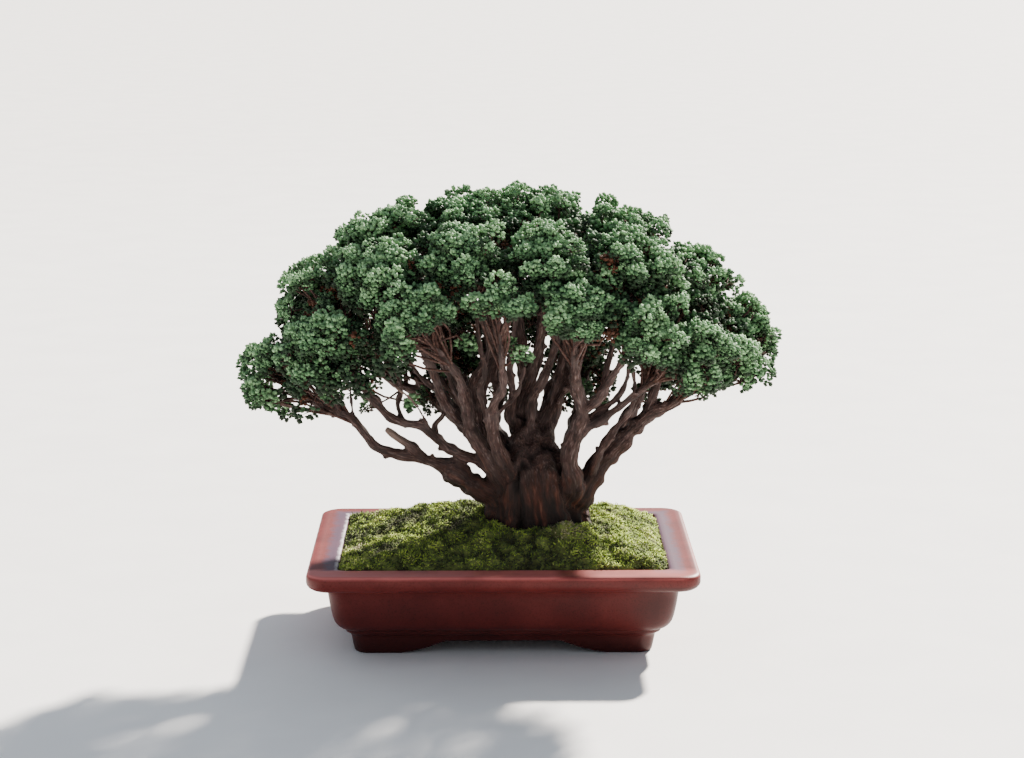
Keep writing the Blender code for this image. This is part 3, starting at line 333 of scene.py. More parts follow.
# Smaller limbs that show under the crown: each forks off a bough and is lost among the leaves
SIDE_LIMBS = (
    Bough("limb_a", "bough_low_left", None, 0.0013, 0.0008, (
        (-0.098, -0.018, 0.130), (-0.101, -0.018, 0.135), (-0.107, -0.018, 0.142), (-0.111, -0.018, 0.150))),
    Bough("limb_b", "bough_low_left", None, 0.0012, 0.0007, (
        (-0.096, -0.018, 0.130), (-0.094, -0.018, 0.136), (-0.092, -0.018, 0.142), (-0.092, -0.018, 0.152))),
    Bough("limb_c", "bough_low_left", None, 0.0012, 0.0007, (
        (-0.084, -0.018, 0.124), (-0.086, -0.018, 0.134), (-0.087, -0.018, 0.146))),
    Bough("limb_d", "bough_left", None, 0.0019, 0.0014, (
        (-0.031, -0.017, 0.110), (-0.037, -0.012, 0.115), (-0.039, -0.010, 0.122), (-0.034, -0.008, 0.129),
        (-0.037, -0.006, 0.140))),
    Bough("limb_e", "bough_front_left", None, 0.0022, 0.0012, (
        (-0.019, -0.025, 0.125), (-0.024, -0.022, 0.138), (-0.029, -0.021, 0.148), (-0.033, -0.024, 0.164))),
    Bough("limb_f", "bough_mid_left", None, 0.0022, 0.0012, (
        (-0.020, -0.013, 0.120), (-0.027, -0.014, 0.133), (-0.034, -0.012, 0.140), (-0.046, -0.012, 0.150),
        (-0.056, -0.018, 0.164))),
    Bough("limb_g", "bough_top_left", None, 0.0026, 0.0014, (
        (-0.013, 0.004, 0.119), (-0.018, 0.004, 0.135), (-0.016, 0.002, 0.148), (-0.009, -0.002, 0.160),
        (-0.005, -0.008, 0.178), (-0.003, -0.012, 0.200))),
    Bough("limb_h", "bough_front", None, 0.0024, 0.0012, (
        (-0.004, -0.025, 0.120), (-0.010, -0.030, 0.134), (-0.013, -0.032, 0.147), (-0.010, -0.038, 0.158),
        (-0.013, -0.044, 0.176), (-0.015, -0.048, 0.196))),
    Bough("limb_i", "bough_front", None, 0.0020, 0.0010, (
        (-0.006, -0.034, 0.130), (0.001, -0.036, 0.138), (0.008, -0.042, 0.147), (0.012, -0.050, 0.164))),
    Bough("limb_j", "bough_top_mid", None, 0.0030, 0.0016, (
        (0.009, 0.006, 0.112), (0.004, 0.004, 0.124), (0.006, 0.000, 0.138), (0.004, -0.006, 0.152),
        (0.006, -0.012, 0.172), (0.009, -0.017, 0.198))),
    Bough("limb_k", "bough_top_mid", None, 0.0036, 0.0018, (
        (0.012, 0.004, 0.108), (0.016, 0.000, 0.122), (0.017, -0.004, 0.135), (0.024, -0.010, 0.151),
        (0.030, -0.018, 0.170), (0.034, -0.023, 0.194))),
    Bough("limb_l", "bough_rear_right", None, 0.0028, 0.0014, (
        (0.025, 0.012, 0.110), (0.031, 0.012, 0.123), (0.034, 0.008, 0.136), (0.042, 0.004, 0.147),
        (0.046, -0.002, 0.168))),
    Bough("limb_m", "bough_front_right", None, 0.0030, 0.0014, (
        (0.045, -0.032, 0.134), (0.041, -0.030, 0.144), (0.040, -0.028, 0.156), (0.036, -0.030, 0.172))),
    Bough("limb_n", "bough_front_right", None, 0.0024, 0.0012, (
        (0.042, -0.028, 0.124), (0.052, -0.026, 0.132), (0.064, -0.028, 0.141), (0.070, -0.030, 0.152),
        (0.072, -0.034, 0.166))),
    Bough("limb_o", "bough_low_right", None, 0.0030, 0.0014, (
        (0.050, -0.008, 0.088), (0.055, -0.018, 0.106), (0.064, -0.022, 0.122), (0.073, -0.022, 0.134),
        (0.075, -0.024, 0.146), (0.073, -0.028, 0.160))),
    Bough("limb_p", "bough_low_right", None, 0.0026, 0.0012, (
        (0.067, -0.005, 0.110), (0.078, 0.000, 0.117), (0.090, 0.004, 0.126), (0.103, 0.006, 0.136),
        (0.116, 0.008, 0.150))),
    Bough("limb_q", "bough_rear_left", None, 0.0022, 0.0012, (
        (-0.019, 0.018, 0.112), (-0.024, 0.014, 0.126), (-0.032, 0.010, 0.140), (-0.046, 0.010, 0.156))),
    Bough("limb_r", "bough_left", None, 0.0020, 0.0010, (
        (-0.056, -0.024, 0.126), (-0.060, -0.020, 0.136), (-0.058, -0.018, 0.146), (-0.064, -0.018, 0.160))),
    Bough("limb_t", "trunk", None, 0.0070, 0.0042, (
        (0.013, -0.012, 0.084), (0.012, -0.010, 0.098), (0.010, -0.002, 0.110), (0.009, 0.006, 0.122))),
    Bough("limb_u", "trunk", None, 0.0072, 0.0042, (
        (0.024, -0.012, 0.084), (0.024, -0.009, 0.098), (0.025, 0.002, 0.108), (0.026, 0.014, 0.120))),
    Bough("limb_v", "trunk", None, 0.0056, 0.0036, (
        (0.018, -0.014, 0.080), (0.018, -0.012, 0.096), (0.018, -0.004, 0.108), (0.017, 0.008, 0.120))),
    Bough("limb_w", "bough_top_mid", None, 0.0046, 0.0022, (
        (0.016, 0.010, 0.104), (0.025, 0.012, 0.122), (0.031, 0.012, 0.139), (0.034, 0.010, 0.152),
        (0.037, 0.006, 0.168), (0.040, 0.002, 0.192))),
    Bough("limb_x", "bough_top_left", None, 0.0034, 0.0018, (
        (-0.006, 0.010, 0.108), (-0.004, 0.012, 0.122), (-0.002, 0.012, 0.136), (-0.004, 0.010, 0.148),
        (0.001, 0.008, 0.168), (0.004, 0.006, 0.194))),
    Bough("limb_s", "bough_top_mid", None, 0.0058, 0.0022, (
        (0.013, 0.003, 0.096), (0.017, 0.010, 0.108), (0.017, 0.012, 0.122), (0.014, 0.014, 0.138),
        (0.011, 0.014, 0.156), (0.010, 0.012, 0.176), (0.008, 0.010, 0.200))),
    Bough("dead_twig", "bough_left", None, 0.0014, 0.0007, (
        (-0.041, -0.021, 0.119), (-0.045, -0.026, 0.130), (-0.052, -0.029, 0.141), (-0.062, -0.030, 0.149))),
)

# Foliage: the crown is a dome of dense pads, each borne by one bough
CROWN_MIDDLE = np.array((0.004, 0.0, 0.150))
CROWN_HALF = np.array((0.158, 0.115, 0.110))
Mass = namedtuple("Mass", "name middle half")
MASSES = (
    Mass("far_left", (-0.128, -0.008, 0.148), (0.033, 0.033, 0.024)),
    Mass("left_low", (-0.100, -0.050, 0.172), (0.035, 0.033, 0.025)),
    Mass("front_left", (-0.046, -0.078, 0.191), (0.035, 0.031, 0.025)),
    Mass("front_mid", (-0.002, -0.086, 0.193), (0.033, 0.028, 0.025)),
    Mass("front_right", (0.038, -0.082, 0.193), (0.033, 0.028, 0.025)),
    Mass("front_far_right", (0.076, -0.068, 0.185), (0.033, 0.031, 0.025)),
    Mass("right_front", (0.104, -0.056, 0.168), (0.033, 0.031, 0.025)),
    Mass("right_low", (0.123, -0.034, 0.163), (0.033, 0.033, 0.019)),
    Mass("far_right", (0.138, 0.006, 0.173), (0.033, 0.035, 0.024)),
    Mass("back_right", (0.104, 0.054, 0.168), (0.035, 0.035, 0.025)),
    Mass("back_mid_right", (0.044, 0.083, 0.181), (0.041, 0.030, 0.025)),
    Mass("back_mid_left", (-0.034, 0.082, 0.182), (0.041, 0.030, 0.025)),
    Mass("back_left", (-0.094, 0.050, 0.170), (0.038, 0.035, 0.025)),
    Mass("left_mid", (-0.101, -0.006, 0.197), (0.035, 0.035, 0.026)),
    Mass("mid_left", (-0.066, -0.046, 0.212), (0.035, 0.033, 0.025)),
    Mass("front_left_high", (-0.022, -0.054, 0.222), (0.033, 0.033, 0.025)),
    Mass("front_right_high", (0.024, -0.054, 0.222), (0.033, 0.033, 0.025)),
    Mass("mid_right", (0.068, -0.042, 0.214), (0.035, 0.033, 0.025)),
    Mass("right_mid", (0.106, 0.000, 0.204), (0.037, 0.035, 0.025)),
    Mass("back_right_high", (0.060, 0.044, 0.218), (0.037, 0.033, 0.025)),
    Mass("back_high", (-0.006, 0.052, 0.224), (0.041, 0.033, 0.025)),
    Mass("left_back_high", (-0.070, 0.038, 0.212), (0.037, 0.033, 0.025)),
    Mass("up_left", (-0.065, 0.000, 0.231), (0.037, 0.035, 0.025)),
    Mass("top_left", (-0.018, 0.000, 0.236), (0.033, 0.033, 0.025)),
    Mass("top_mid", (0.024, 0.000, 0.238), (0.033, 0.033, 0.025)),
    Mass("top_right", (0.066, 0.000, 0.230), (0.035, 0.033, 0.025)),
)
CORE_SHARE = 0.90
CORE_WALL_SHARE = 0.96
CORE_UNDER_CROWN = 0.011
STEM_REACH = 0.005
UNDERSIDE_SHARE = 0.75
SPRAY_OVERREACH = 1.16
SPACE_CLEARANCE = 0.0004

# Leaves: each pad bears clumps, each clump tufts, each tuft a cockscomb of blunt lobes
Habit = namedtuple("Habit", "tufts lobes lobe_length lobe_width lobe_start")
CLUMPS = 45
CLUMPS_LOWEST = -0.75  # how far round under a pad they reach
CLUMP_JITTER = 0.20
CLUMP_RADIUS = (0.0056, 0.0094)
SHADY_RADIUS = (0.0066, 0.0105)
CLUMP_SINK = (0.0000, 0.0115)  # how far short of the pad's outline a clump may end
WALL_OVERLAP = 0.002  # how far clumps reach into the next pad's room
EXPOSED = 0.80  # nearer the crown's middle than this share, few clumps get light to grow
INNER_CLUMPS = 0.30
SUNNY_HABIT = Habit(5, 13, 0.0028, 0.0026, 0.0012)
SHADY_HABIT = Habit(6, 8, 0.0032, 0.0032, 0.0012)
LOBE_SIDES = 4
LOBE_FLATNESS = 0.70
LOBE_SIZE = (0.8, 1.2)
LOBE_BELLY = 0.60  # where along its length a lobe is fattest
LOBE_INSET = 0.7
LOBE_LIT_FROM = 0.2
LOBE_LIGHT = 2.3  # how many greens lighter the lobes on top of a tuft are painted than those on its side, as painted light
TUFT_CAP = 1.40
TUFT_UPWARD = 0.45
TUFT_OUTWARD = 0.5
TUFT_LEAN = 0.5
TUFT_JITTER = 0.16
TUFT_SIZE = (0.72, 1.35)
LOBE_CAP = 1.85
COMB_WIDTH = 0.55  # a tuft is this much narrower across than along
LOBE_JITTER = 0.16
SHADY_CLUMPS = 700
SHADY_LIFT = 0.004
SHADY_JITTER = 0.06
SHADY_DEPTH = (0.68, 0.86)  # shares of the crown's half size
SHADY_LOWEST = -0.1
DIM_DEPTH = 0.74  # nearer the middle than this share, shady leaves keep to the darkest green: older leaves, and painted shade
# How low leaves may hang along the plant's length
UNDERSIDE = ((-0.160, 0.116), (-0.116, 0.130), (-0.100, 0.140), (-0.066, 0.152), (-0.048, 0.176),
             (-0.030, 0.185), (0.045, 0.185), (0.060, 0.174), (0.080, 0.160), (0.100, 0.142),
             (0.160, 0.150))
# How much higher the leaves end at the front, where the limbs show further up
FRONT_OPENING = ((-0.070, 0.0), (-0.045, 0.010), (0.016, 0.010), (0.026, 0.0))
FRONT_LEAVES = (0.045, 0.065)  # how far forward
# Clumps set one by one, under the crown, in its gaps and on its outline: place and radius for each pad
LONE_CLUMPS = {
    "front_mid": ((0.010, -0.066, 0.171, 0.0075), (0.003, -0.062, 0.177, 0.0060)),
    "front_left": ((-0.020, -0.050, 0.176, 0.0070),),
    "left_mid": ((-0.051, -0.020, 0.137, 0.0050),),
    "back_left": ((-0.078, 0.030, 0.124, 0.0075),),
    "left_low": ((-0.098, -0.030, 0.143, 0.0055),),
    "far_left": ((-0.122, -0.014, 0.130, 0.0070), (-0.130, -0.010, 0.135, 0.0070)),
    "top_mid": ((0.000, 0.004, 0.2475, 0.0095), (0.006, -0.004, 0.243, 0.0090)),
    "up_left": ((-0.044, 0.004, 0.233, 0.0090),),
    "top_left": ((-0.036, 0.010, 0.243, 0.0080),),
    "back_high": (
        (-0.002, 0.045, 0.182, 0.0095), (0.006, 0.045, 0.188, 0.0095), (0.014, 0.050, 0.178, 0.0095),
        (0.004, 0.055, 0.172, 0.0095), (0.012, 0.055, 0.164, 0.0090), (-0.004, 0.055, 0.163, 0.0090),
        (0.024, 0.050, 0.184, 0.0090), (0.004, 0.060, 0.156, 0.0085), (0.020, 0.060, 0.170, 0.0095),
        (-0.012, 0.055, 0.188, 0.0090), (0.030, 0.055, 0.168, 0.0090), (-0.030, 0.050, 0.190, 0.0090),
        (0.016, 0.045, 0.172, 0.0080), (0.012, 0.070, 0.168, 0.0090), (0.019, 0.070, 0.161, 0.0085)),
    "back_mid_left": (
        (-0.024, 0.045, 0.150, 0.0080), (-0.016, 0.045, 0.150, 0.0080), (-0.020, 0.050, 0.142, 0.0075),
        (-0.027, 0.040, 0.176, 0.0090), (-0.023, 0.040, 0.168, 0.0080), (-0.018, 0.050, 0.155, 0.0090),
        (-0.003, 0.050, 0.152, 0.0080)),
    "back_mid_right": (
        (0.018, 0.040, 0.185, 0.0095), (0.018, 0.040, 0.174, 0.0095), (0.016, 0.040, 0.161, 0.0085),
        (0.035, 0.050, 0.153, 0.0090), (0.052, 0.040, 0.161, 0.0090), (0.044, 0.052, 0.144, 0.0070)),
    "back_right": ((0.092, 0.048, 0.134, 0.0085), (0.084, 0.044, 0.130, 0.0070)),
    "right_low": ((0.112, -0.028, 0.144, 0.0055), (0.122, -0.026, 0.150, 0.0055)),
}
SHADED_FROM = 0.035  # how far back the lone clumps are in the shade, and take the shady habit with its darkest greens as painted shade
# Shoots that clothe the boughs at the back, between these shares of their length
CLOTHED = {"back_mid_left": 34, "back_mid_right": 34, "back_right": 10, "back_left": 8,
           "back_right_high": 12, "back_high": 14}
CLOTHED_SPAN = (0.52, 0.95)
CLOTHED_REACH = 0.014
CLOTHED_SPREAD = (1, 1, 0.6)
LONE_DEPTH = 0.9  # such clumps count as this far out in the crown
# Balls in which nothing grows, where the crown's outline dips
DIPS = ((0.109, 0.000, 0.234, 0.013), (-0.142, 0.000, 0.196, 0.014), (-0.108, 0.000, 0.230, 0.009),
        (-0.126, -0.020, 0.160, 0.007), (-0.115, -0.010, 0.141, 0.008), (-0.106, -0.010, 0.144, 0.006))
DIP_RUN = (1.0, 0.35, 1.0)  # the dips are longer front to back
# How light the tufts of a pad are, as places in the list of greens: painted lighter towards the crown's
# outside and on tufts that face up, as painted light
SUNNY_GREEN = 1.6
OUTER_LIGHT = 1.5
TOP_LIGHT = 0.9
CLUMP_VARIETY = 0.5
TUFT_VARIETY = 0.9
WITHERED = 0.10  # share of the tufts in the shade that are dry and brown
# The darkest green, for shady leaves deep in the crown: older leaves, darkened further as painted shade
INNER_GREEN = "#293a25"
GREENS = ("#2d452d", "#3e5b3e", "#547852", "#75a072", "#9cc495")
WITHERED_BROWN = "#643826"
TWIG_RADIUS = (0.0009, 0.0005)
TWIG_SIDES = 4
TWIG_STEP = 0.012
TWIG_MIDDLE = 0.6  # where along a twig it bends
TWIG_BEND = 0.0035
TWIG_ARCH = 0.002
BRANCHLET_RADIUS = 0.00045
BRANCHLET_ROOT = 0.006
BRANCHLET_TIP = 0.001
FORKING = (0.66, 1.0)  # shares of a limb's length between which its twigs leave it
FOLIAGE_PIECES = 5

# Real sizes of the patterns on each finish
FIBRE_WIDTH = 0.9 * MM
STRIP_WIDTH = 3.2 * MM  # of the strips that old bark peels off in
BARK_PATCH = 9 * MM
TWIG_PATCH = 2.4 * MM
SCALE_LEAF = 0.9 * MM
LEAF_TINT = 9 * MM
CLAY_CLOUD = 26 * MM
CLAY_GRIT = 0.9 * MM
LIME_STREAK = 6 * MM
MOSS_PATCH = 7 * MM
SHOOT_TINT = 2.5 * MM
SOIL_CRUMB = 2 * MM
TABLE_CLOUD = 60 * MM

# Inputs and output of a colour Mix node, which have no names of their own
FACTOR, UNDER, OVER, MIXED = 0, 6, 7, 2


def linear(text):
    """An sRGB hex colour as Blender's linear red, green, blue and alpha."""
    parts = [int(text[index:index + 2], 16) / 255 for index in (1, 3, 5)]
    return (*(p / 12.92 if p <= 0.04045 else ((p + 0.055) / 1.055) ** 2.4 for p in parts), 1.0)


def add_node(material, kind, inputs=None, output=0, stops=(), **settings):
    """Add a node with its settings, its links and a ramp's stops, and return one of its outputs."""
    made = material.node_tree.nodes.new(f"ShaderNode{kind}")
    for name, value in settings.items():
        setattr(made, name, value)
    for key, value in (inputs or {}).items():
        if isinstance(value, bpy.types.NodeSocket):
            material.node_tree.links.new(value, made.inputs[key])
        else:
            made.inputs[key].default_value = linear(value) if isinstance(value, str) else value
    while stops and len(made.color_ramp.elements) < len(stops):
        made.color_ramp.elements.new(1.0)
    for element, (place, colour) in zip(made.color_ramp.elements if stops else (), stops):
        element.position = place
        element.color = linear(colour)
    return made.outputs[output] if made.outputs else None


def new_material(name):
    """An empty material, and the place on the piece by which its patterns are laid."""
    material = bpy.data.materials.new(name)
    material.use_nodes = True
    material.node_tree.nodes.clear()
    return material, add_node(material, "TexCoord", output="Object")


def finish_material(material, colour, height=None, depth=0.0, **values):
    """Close a material: its shader's colour and values, and a bump of this depth in metres."""
    inputs = {key.replace("_", " "): value for key, value in values.items()}
    if height is not None:
        inputs["Normal"] = add_node(material, "Bump", {"Height": height, "Distance": depth})
    shader = add_node(material, "BsdfPrincipled", {"Base Color": colour, **inputs})
    add_node(material, "OutputMaterial", {"Surface": shader})
    return material


def vary(material, colour, share, dull, fresh):
    """A plain colour, duller in one place and fresher in the next."""
    shade = add_node(material, "Mix", {FACTOR: share, UNDER: dull, OVER: fresh}, MIXED, data_type="RGBA")
    return add_node(material, "Mix", {FACTOR: 1.0, UNDER: colour, OVER: shade}, MIXED,
                    data_type="RGBA", blend_type="MULTIPLY")


def scale_leaves(number, colour):
    """Waxy hinoki scale leaves: a soft shine on rounded tips, darker between the scales."""
    material, place = new_material(f"scale_leaves_{number}")
    tint = add_node(material, "TexNoise", {"Vector": place, "Scale": 1 / LEAF_TINT})
    scales = add_node(material, "TexVoronoi", {"Vector": place, "Scale": 1 / SCALE_LEAF})
    varied = vary(material, colour, tint, "#9cb0a8", "#fffff0")
    return finish_material(material, varied, scales, 0.15 * MM, Roughness=0.68, IOR=1.40)


def fibrous_bark():
    """Old hinoki bark: soft red-brown fibres along the limb, greyed outside, with painted shade in its
    furrows.
    """
    material, place = new_material("fibrous_bark")
    grain = add_node(material, "Attribute", output="Vector", attribute_name="grain")
    furrow, bare, aged = (add_node(material, "Attribute", output="Fac", attribute_name=name)
                          for name in ("furrow", "bare", "aged"))
    fibre = add_node(material, "TexNoise", {"Vector": grain, "Scale": 1.0, "Detail": 4.0, "Roughness": 0.6})
    patch = add_node(material, "TexNoise", {"Vector": place, "Scale": 1 / BARK_PATCH, "Detail": 3.0})
    strip = add_node(material, "TexNoise", {"Vector": grain, "Scale": FIBRE_WIDTH / STRIP_WIDTH,
                                            "Detail": 6.0, "Roughness": 0.6})
    colour = add_node(material, "ValToRGB", {"Fac": fibre}, stops=(
        (0.30, "#18100e"), (0.46, "#35231f"), (0.58, "#4e3934"), (0.72, "#7a6b67")))
    greyed = add_node(material, "ValToRGB", {"Fac": patch}, stops=((0.42, "#000000"), (0.72, "#a0a0a0")))
    old = add_node(material, "ValToRGB", {"Fac": strip}, stops=(
        (0.34, "#120b09"), (0.47, "#271712"), (0.60, "#432419"), (0.76, "#744a3b")))
    # The furrow mask paints shade into the furrows and hollows
    for share, coat in ((greyed, "#665b59"), (aged, old), (furrow, "#140b08"), (bare, "#9a8578")):
        colour = add_node(material, "Mix", {FACTOR: share, UNDER: colour, OVER: coat}, MIXED,
                          data_type="RGBA")
    return finish_material(material, colour, fibre, 0.7 * MM, Roughness=0.82, IOR=1.4)


def young_bark():
    """Thin bark of the twigs, smoother and redder than the old."""
    material, place = new_material("young_bark")
    patch = add_node(material, "TexNoise", {"Vector": place, "Scale": 1 / TWIG_PATCH, "Detail": 3.0})
    colour = add_node(material, "ValToRGB", {"Fac": patch},
                      stops=((0.30, "#2a1915"), (0.55, "#4a2e26"), (0.80, "#6e5a52")))
    return finish_material(material, colour, patch, 0.2 * MM, Roughness=0.7, IOR=1.4)


def moss_shoots(number, colour):
    """Leafy moss shoots: dull, with each tip a little lighter or darker than the next."""
    material, place = new_material(f"moss_shoots_{number}")
    tint = add_node(material, "TexNoise", {"Vector": place, "Scale": 1 / SHOOT_TINT})
    varied = vary(material, colour, tint, "#b0b595", "#ffffff")
    return finish_material(material, varied, Roughness=0.9, Specular_IOR_Level=0.15)


def moss_bed():
    """The felted base of the moss under its shoots, brown-green, with painted shade darkening its hollows.
    """
    material, place = new_material("moss_bed")
    patch = add_node(material, "TexNoise", {"Vector": place, "Scale": 1 / MOSS_PATCH, "Detail": 5.0})
    # The same pattern lowers the bump and darkens the colour: painted shade in the hollows
    colour = add_node(material, "ValToRGB", {"Fac": patch},
                      stops=((0.35, "#333320"), (0.50, "#5c6236"), (0.70, "#828d4c")))
    return finish_material(material, colour, patch, 1 * MM, Roughness=0.9, Specular_IOR_Level=0.15)


def potting_soil():
    """Moist granular soil: dark crumbs."""
    material, place = new_material("potting_soil")
    crumbs = add_node(material, "TexVoronoi", {"Vector": place, "Scale": 1 / SOIL_CRUMB})
    colour = add_node(material, "ValToRGB", {"Fac": crumbs}, stops=((0.1, "#3a2b20"), (0.7, "#17110d")))
    return finish_material(material, colour, crumbs, 1 * MM, Roughness=0.95, IOR=1.4)


def unglazed_clay():
    """Unglazed red stoneware, pressed and burnished: satin, dulled and limed on the rim."""
    material, place = new_material("unglazed_clay")
    bloom, crust, worn_and_lit, damp_and_shade = (add_node(material, "Attribute", output="Fac", attribute_name=name)
                                for name in ("bloom", "crust", "worn_and_lit", "damp_and_shade"))
    cloud = add_node(material, "TexNoise", {"Vector": place, "Scale": 1 / CLAY_CLOUD, "Detail": 4.0})
    grit = add_node(material, "TexNoise", {"Vector": place, "Scale": 1 / CLAY_GRIT, "Detail": 2.0})
    streak = add_node(material, "TexNoise", {"Vector": place, "Scale": 1 / LIME_STREAK,
                                             "Detail": 6.0, "Roughness": 0.65})
    body = add_node(material, "ValToRGB", {"Fac": cloud},
                    stops=((0.30, "#5c1d1b"), (0.52, "#6c2421"), (0.75, "#7c302b")))
    speckle = add_node(material, "ValToRGB", {"Fac": grit}, stops=((0.34, "#b59a92"), (0.48, "#ffffff")))
    colour = add_node(material, "Mix", {FACTOR: 0.5, UNDER: body, OVER: speckle}, MIXED,
                      data_type="RGBA", blend_type="MULTIPLY")
    film, lime, rubbed_and_lit = (add_node(material, "Math", {0: mask, 1: pattern}, operation="MULTIPLY")
                          for mask, pattern in ((bloom, streak), (crust, streak), (worn_and_lit, cloud)))
    patina = add_node(material, "ValToRGB", {"Fac": film}, stops=((0.16, "#000000"), (0.34, "#d8d8d8")))
    streaks = add_node(material, "ValToRGB", {"Fac": lime}, stops=((0.30, "#000000"), (0.60, "#ffffff")))
    # The first coat darkens the clay towards the foot with damp and painted shade, and its right end with
    # painted shade; the last pales the rim's rubbed edges and paints sunlight and reflection on its front
    for share, coat in ((damp_and_shade, "#210806"), (patina, "#4a4358"), (streaks, "#cfc7cd"), (rubbed_and_lit, "#c8706c")):
        colour = add_node(material, "Mix", {FACTOR: share, UNDER: colour, OVER: coat}, MIXED,
                          data_type="RGBA")
    return finish_material(material, colour, grit, 0.05 * MM, Roughness=0.46, IOR=1.42,
                           Specular_IOR_Level=0.3)


def pale_plaster():
    """A trowelled plaster table top: matt, faintly clouded."""
    material, place = new_material("pale_plaster")
    cloud = add_node(material, "TexNoise", {"Vector": place, "Scale": 1 / TABLE_CLOUD, "Detail": 6.0})
    colour = add_node(material, "ValToRGB", {"Fac": cloud}, stops=((0.3, "#f3f2f0"), (0.7, "#faf9f6")))
    return finish_material(material, colour, Roughness=0.75)


def new_piece(name, verts, faces, materials, kinds=None):
    """A smooth mesh object from arrays of corners and triangles."""
    verts = np.asarray(verts, np.float32)
    faces = np.asarray(faces, np.int32)
    mesh = bpy.data.meshes.new(name)
    mesh.vertices.add(len(verts))
    mesh.vertices.foreach_set("co", verts.ravel())
    mesh.loops.add(faces.size)
    mesh.loops.foreach_set("vertex_index", faces.ravel())
    mesh.polygons.add(len(faces))
    mesh.polygons.foreach_set("loop_start", np.arange(0, faces.size, 3, dtype=np.int32))
    for material in materials:
        mesh.materials.append(material)
    if kinds is not None:
        mesh.polygons.foreach_set("material_index", np.asarray(kinds, np.int32))
    mesh.update(calc_edges=True)
    mesh.shade_smooth()
    piece = bpy.data.objects.new(name, mesh)
    bpy.context.scene.collection.objects.link(piece)
    return piece


def settle_piece(piece, slot, *nodes):
    """Move a piece from the plant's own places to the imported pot, and tie it to the frame."""
    piece.data.transform(Matrix.Translation(PLANT_PLACE))
    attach(piece, "root")
    if nodes:
        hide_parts(*nodes)


def corners_of(mesh):
    """The places of a mesh's corners."""
    spots = np.zeros(len(mesh.vertices) * 3, np.float32)
    mesh.vertices.foreach_get("co", spots)
    return spots.reshape(-1, 3).astype(float)


def set_numbers(piece, name, values, kind="FLOAT"):
    """Store a value, or a vector, for each corner of the piece."""
    attribute = piece.data.attributes.new(name, kind, "POINT")
    key = "vector" if kind == "FLOAT_VECTOR" else "value"
    attribute.data.foreach_set(key, np.asarray(values, np.float32).ravel())


def evaluated(piece):
    """The piece with its modifiers applied."""
    graph = bpy.context.evaluated_depsgraph_get()
    mesh = bpy.data.meshes.new_from_object(piece.evaluated_get(graph))
    piece.modifiers.clear()
    piece.data = mesh
    return piece


class Shape:
    """Corners and triangles gathered for one piece, with a material number for each triangle."""

    def __init__(self):
        self.verts, self.faces, self.kinds = [], [], []
        self.count = 0

    def add(self, verts, faces, kinds=0):
        self.verts.append(verts)
        self.faces.append(faces + self.count)
        self.kinds.append(np.broadcast_to(kinds, len(faces)))
        self.count += len(verts)

    def piece(self, name, materials):
        return new_piece(name, np.concatenate(self.verts), np.concatenate(self.faces), materials,
                         np.concatenate(self.kinds))


def unit(vectors):
    return vectors / np.linalg.norm(vectors, axis=-1, keepdims=True)


def ramp(values, start, end):
    """0 up to the start, 1 from the end on, and a straight rise between them."""
    return np.clip((values - start) / (end - start), 0, 1)


def smooth_path(points, spacing):
    """Points about this far apart on a smooth curve through the given ones."""
    points = [np.array(point) for point in points]
    guides = [2 * points[0] - points[1], *points, 2 * points[-1] - points[-2]]
    path = [points[0]]
    for a, b, c, d in zip(guides, guides[1:], guides[2:], guides[3:]):
        steps = max(1, round(np.linalg.norm(c - b) / spacing))
        for t in (step / steps for step in range(1, steps + 1)):
            path.append(0.5 * (2 * b + (c - a) * t + (2 * a - 5 * b + 4 * c - d) * t ** 2
                               + (3 * b - a - 3 * c + d) * t ** 3))
    return np.array(path)


def lengths_along(path):
    """How far along a path each of its points is."""
    steps = np.linalg.norm(np.diff(path, axis=0), axis=1)
    return np.concatenate([[0.0], np.cumsum(steps)])


def frames_along(path):
    """The way, the side and the other side at each point of a path, turning as little as can be."""
    side = SKEW
    frames = []
    for way in unit(np.gradient(path, axis=0)):
        side = unit(side - way * side.dot(way))
        frames.append((way, side, np.cross(way, side)))
    return np.array(frames)


def skin(rings):
    """Corners and triangles of a closed skin over rings of equal length."""
    rings = np.asarray(rings)
    levels, sides = rings.shape[:2]
    verts = np.concatenate([rings.reshape(-1, 3), rings[:1].mean(1), rings[-1:].mean(1)])
    level, side = np.meshgrid(np.arange(levels - 1), np.arange(sides), indexing="ij")
    a = (level * sides + side).ravel()
    b = (level * sides + (side + 1) % sides).ravel()
    walls = np.concatenate([np.stack([a, b, b + sides], 1), np.stack([a, b + sides, a + sides], 1)])
    around = np.arange(sides)
    after = (around + 1) % sides
    last = (levels - 1) * sides
    foot = np.stack([after, around, np.full(sides, levels * sides)], 1)
    head = np.stack([around + last, after + last, np.full(sides, levels * sides + 1)], 1)
    return verts, np.concatenate([walls, foot, head])


def tube(path, radii, sides):
    """A round limb along a path."""
    turn = 2 * np.pi * np.arange(sides) / sides
    frames = frames_along(path)
    round_way = (np.cos(turn)[:, None] * frames[:, None, 1] + np.sin(turn)[:, None] * frames[:, None, 2])
    return skin(path[:, None] + np.asarray(radii)[:, None, None] * round_way)


def spikes(roots, tips, radii):
    """Many thin closed spikes, each of four triangles."""
    ways = unit(tips - roots)
    sides = unit(np.cross(ways, SKEW))
    others = np.cross(ways, sides)
    turns = 2 * np.pi * np.arange(3) / 3
    rings = [roots + radii[:, None] * (math.cos(a) * sides + math.sin(a) * others) for a in turns]
    verts = np.stack([*rings, tips], 1)
    faces = np.array(((0, 1, 3), (1, 2, 3), (2, 0, 3), (2, 1, 0)))
    every = 4 * np.arange(len(roots))[:, None, None] + faces
    return verts.reshape(-1, 3), every.reshape(-1, 3)


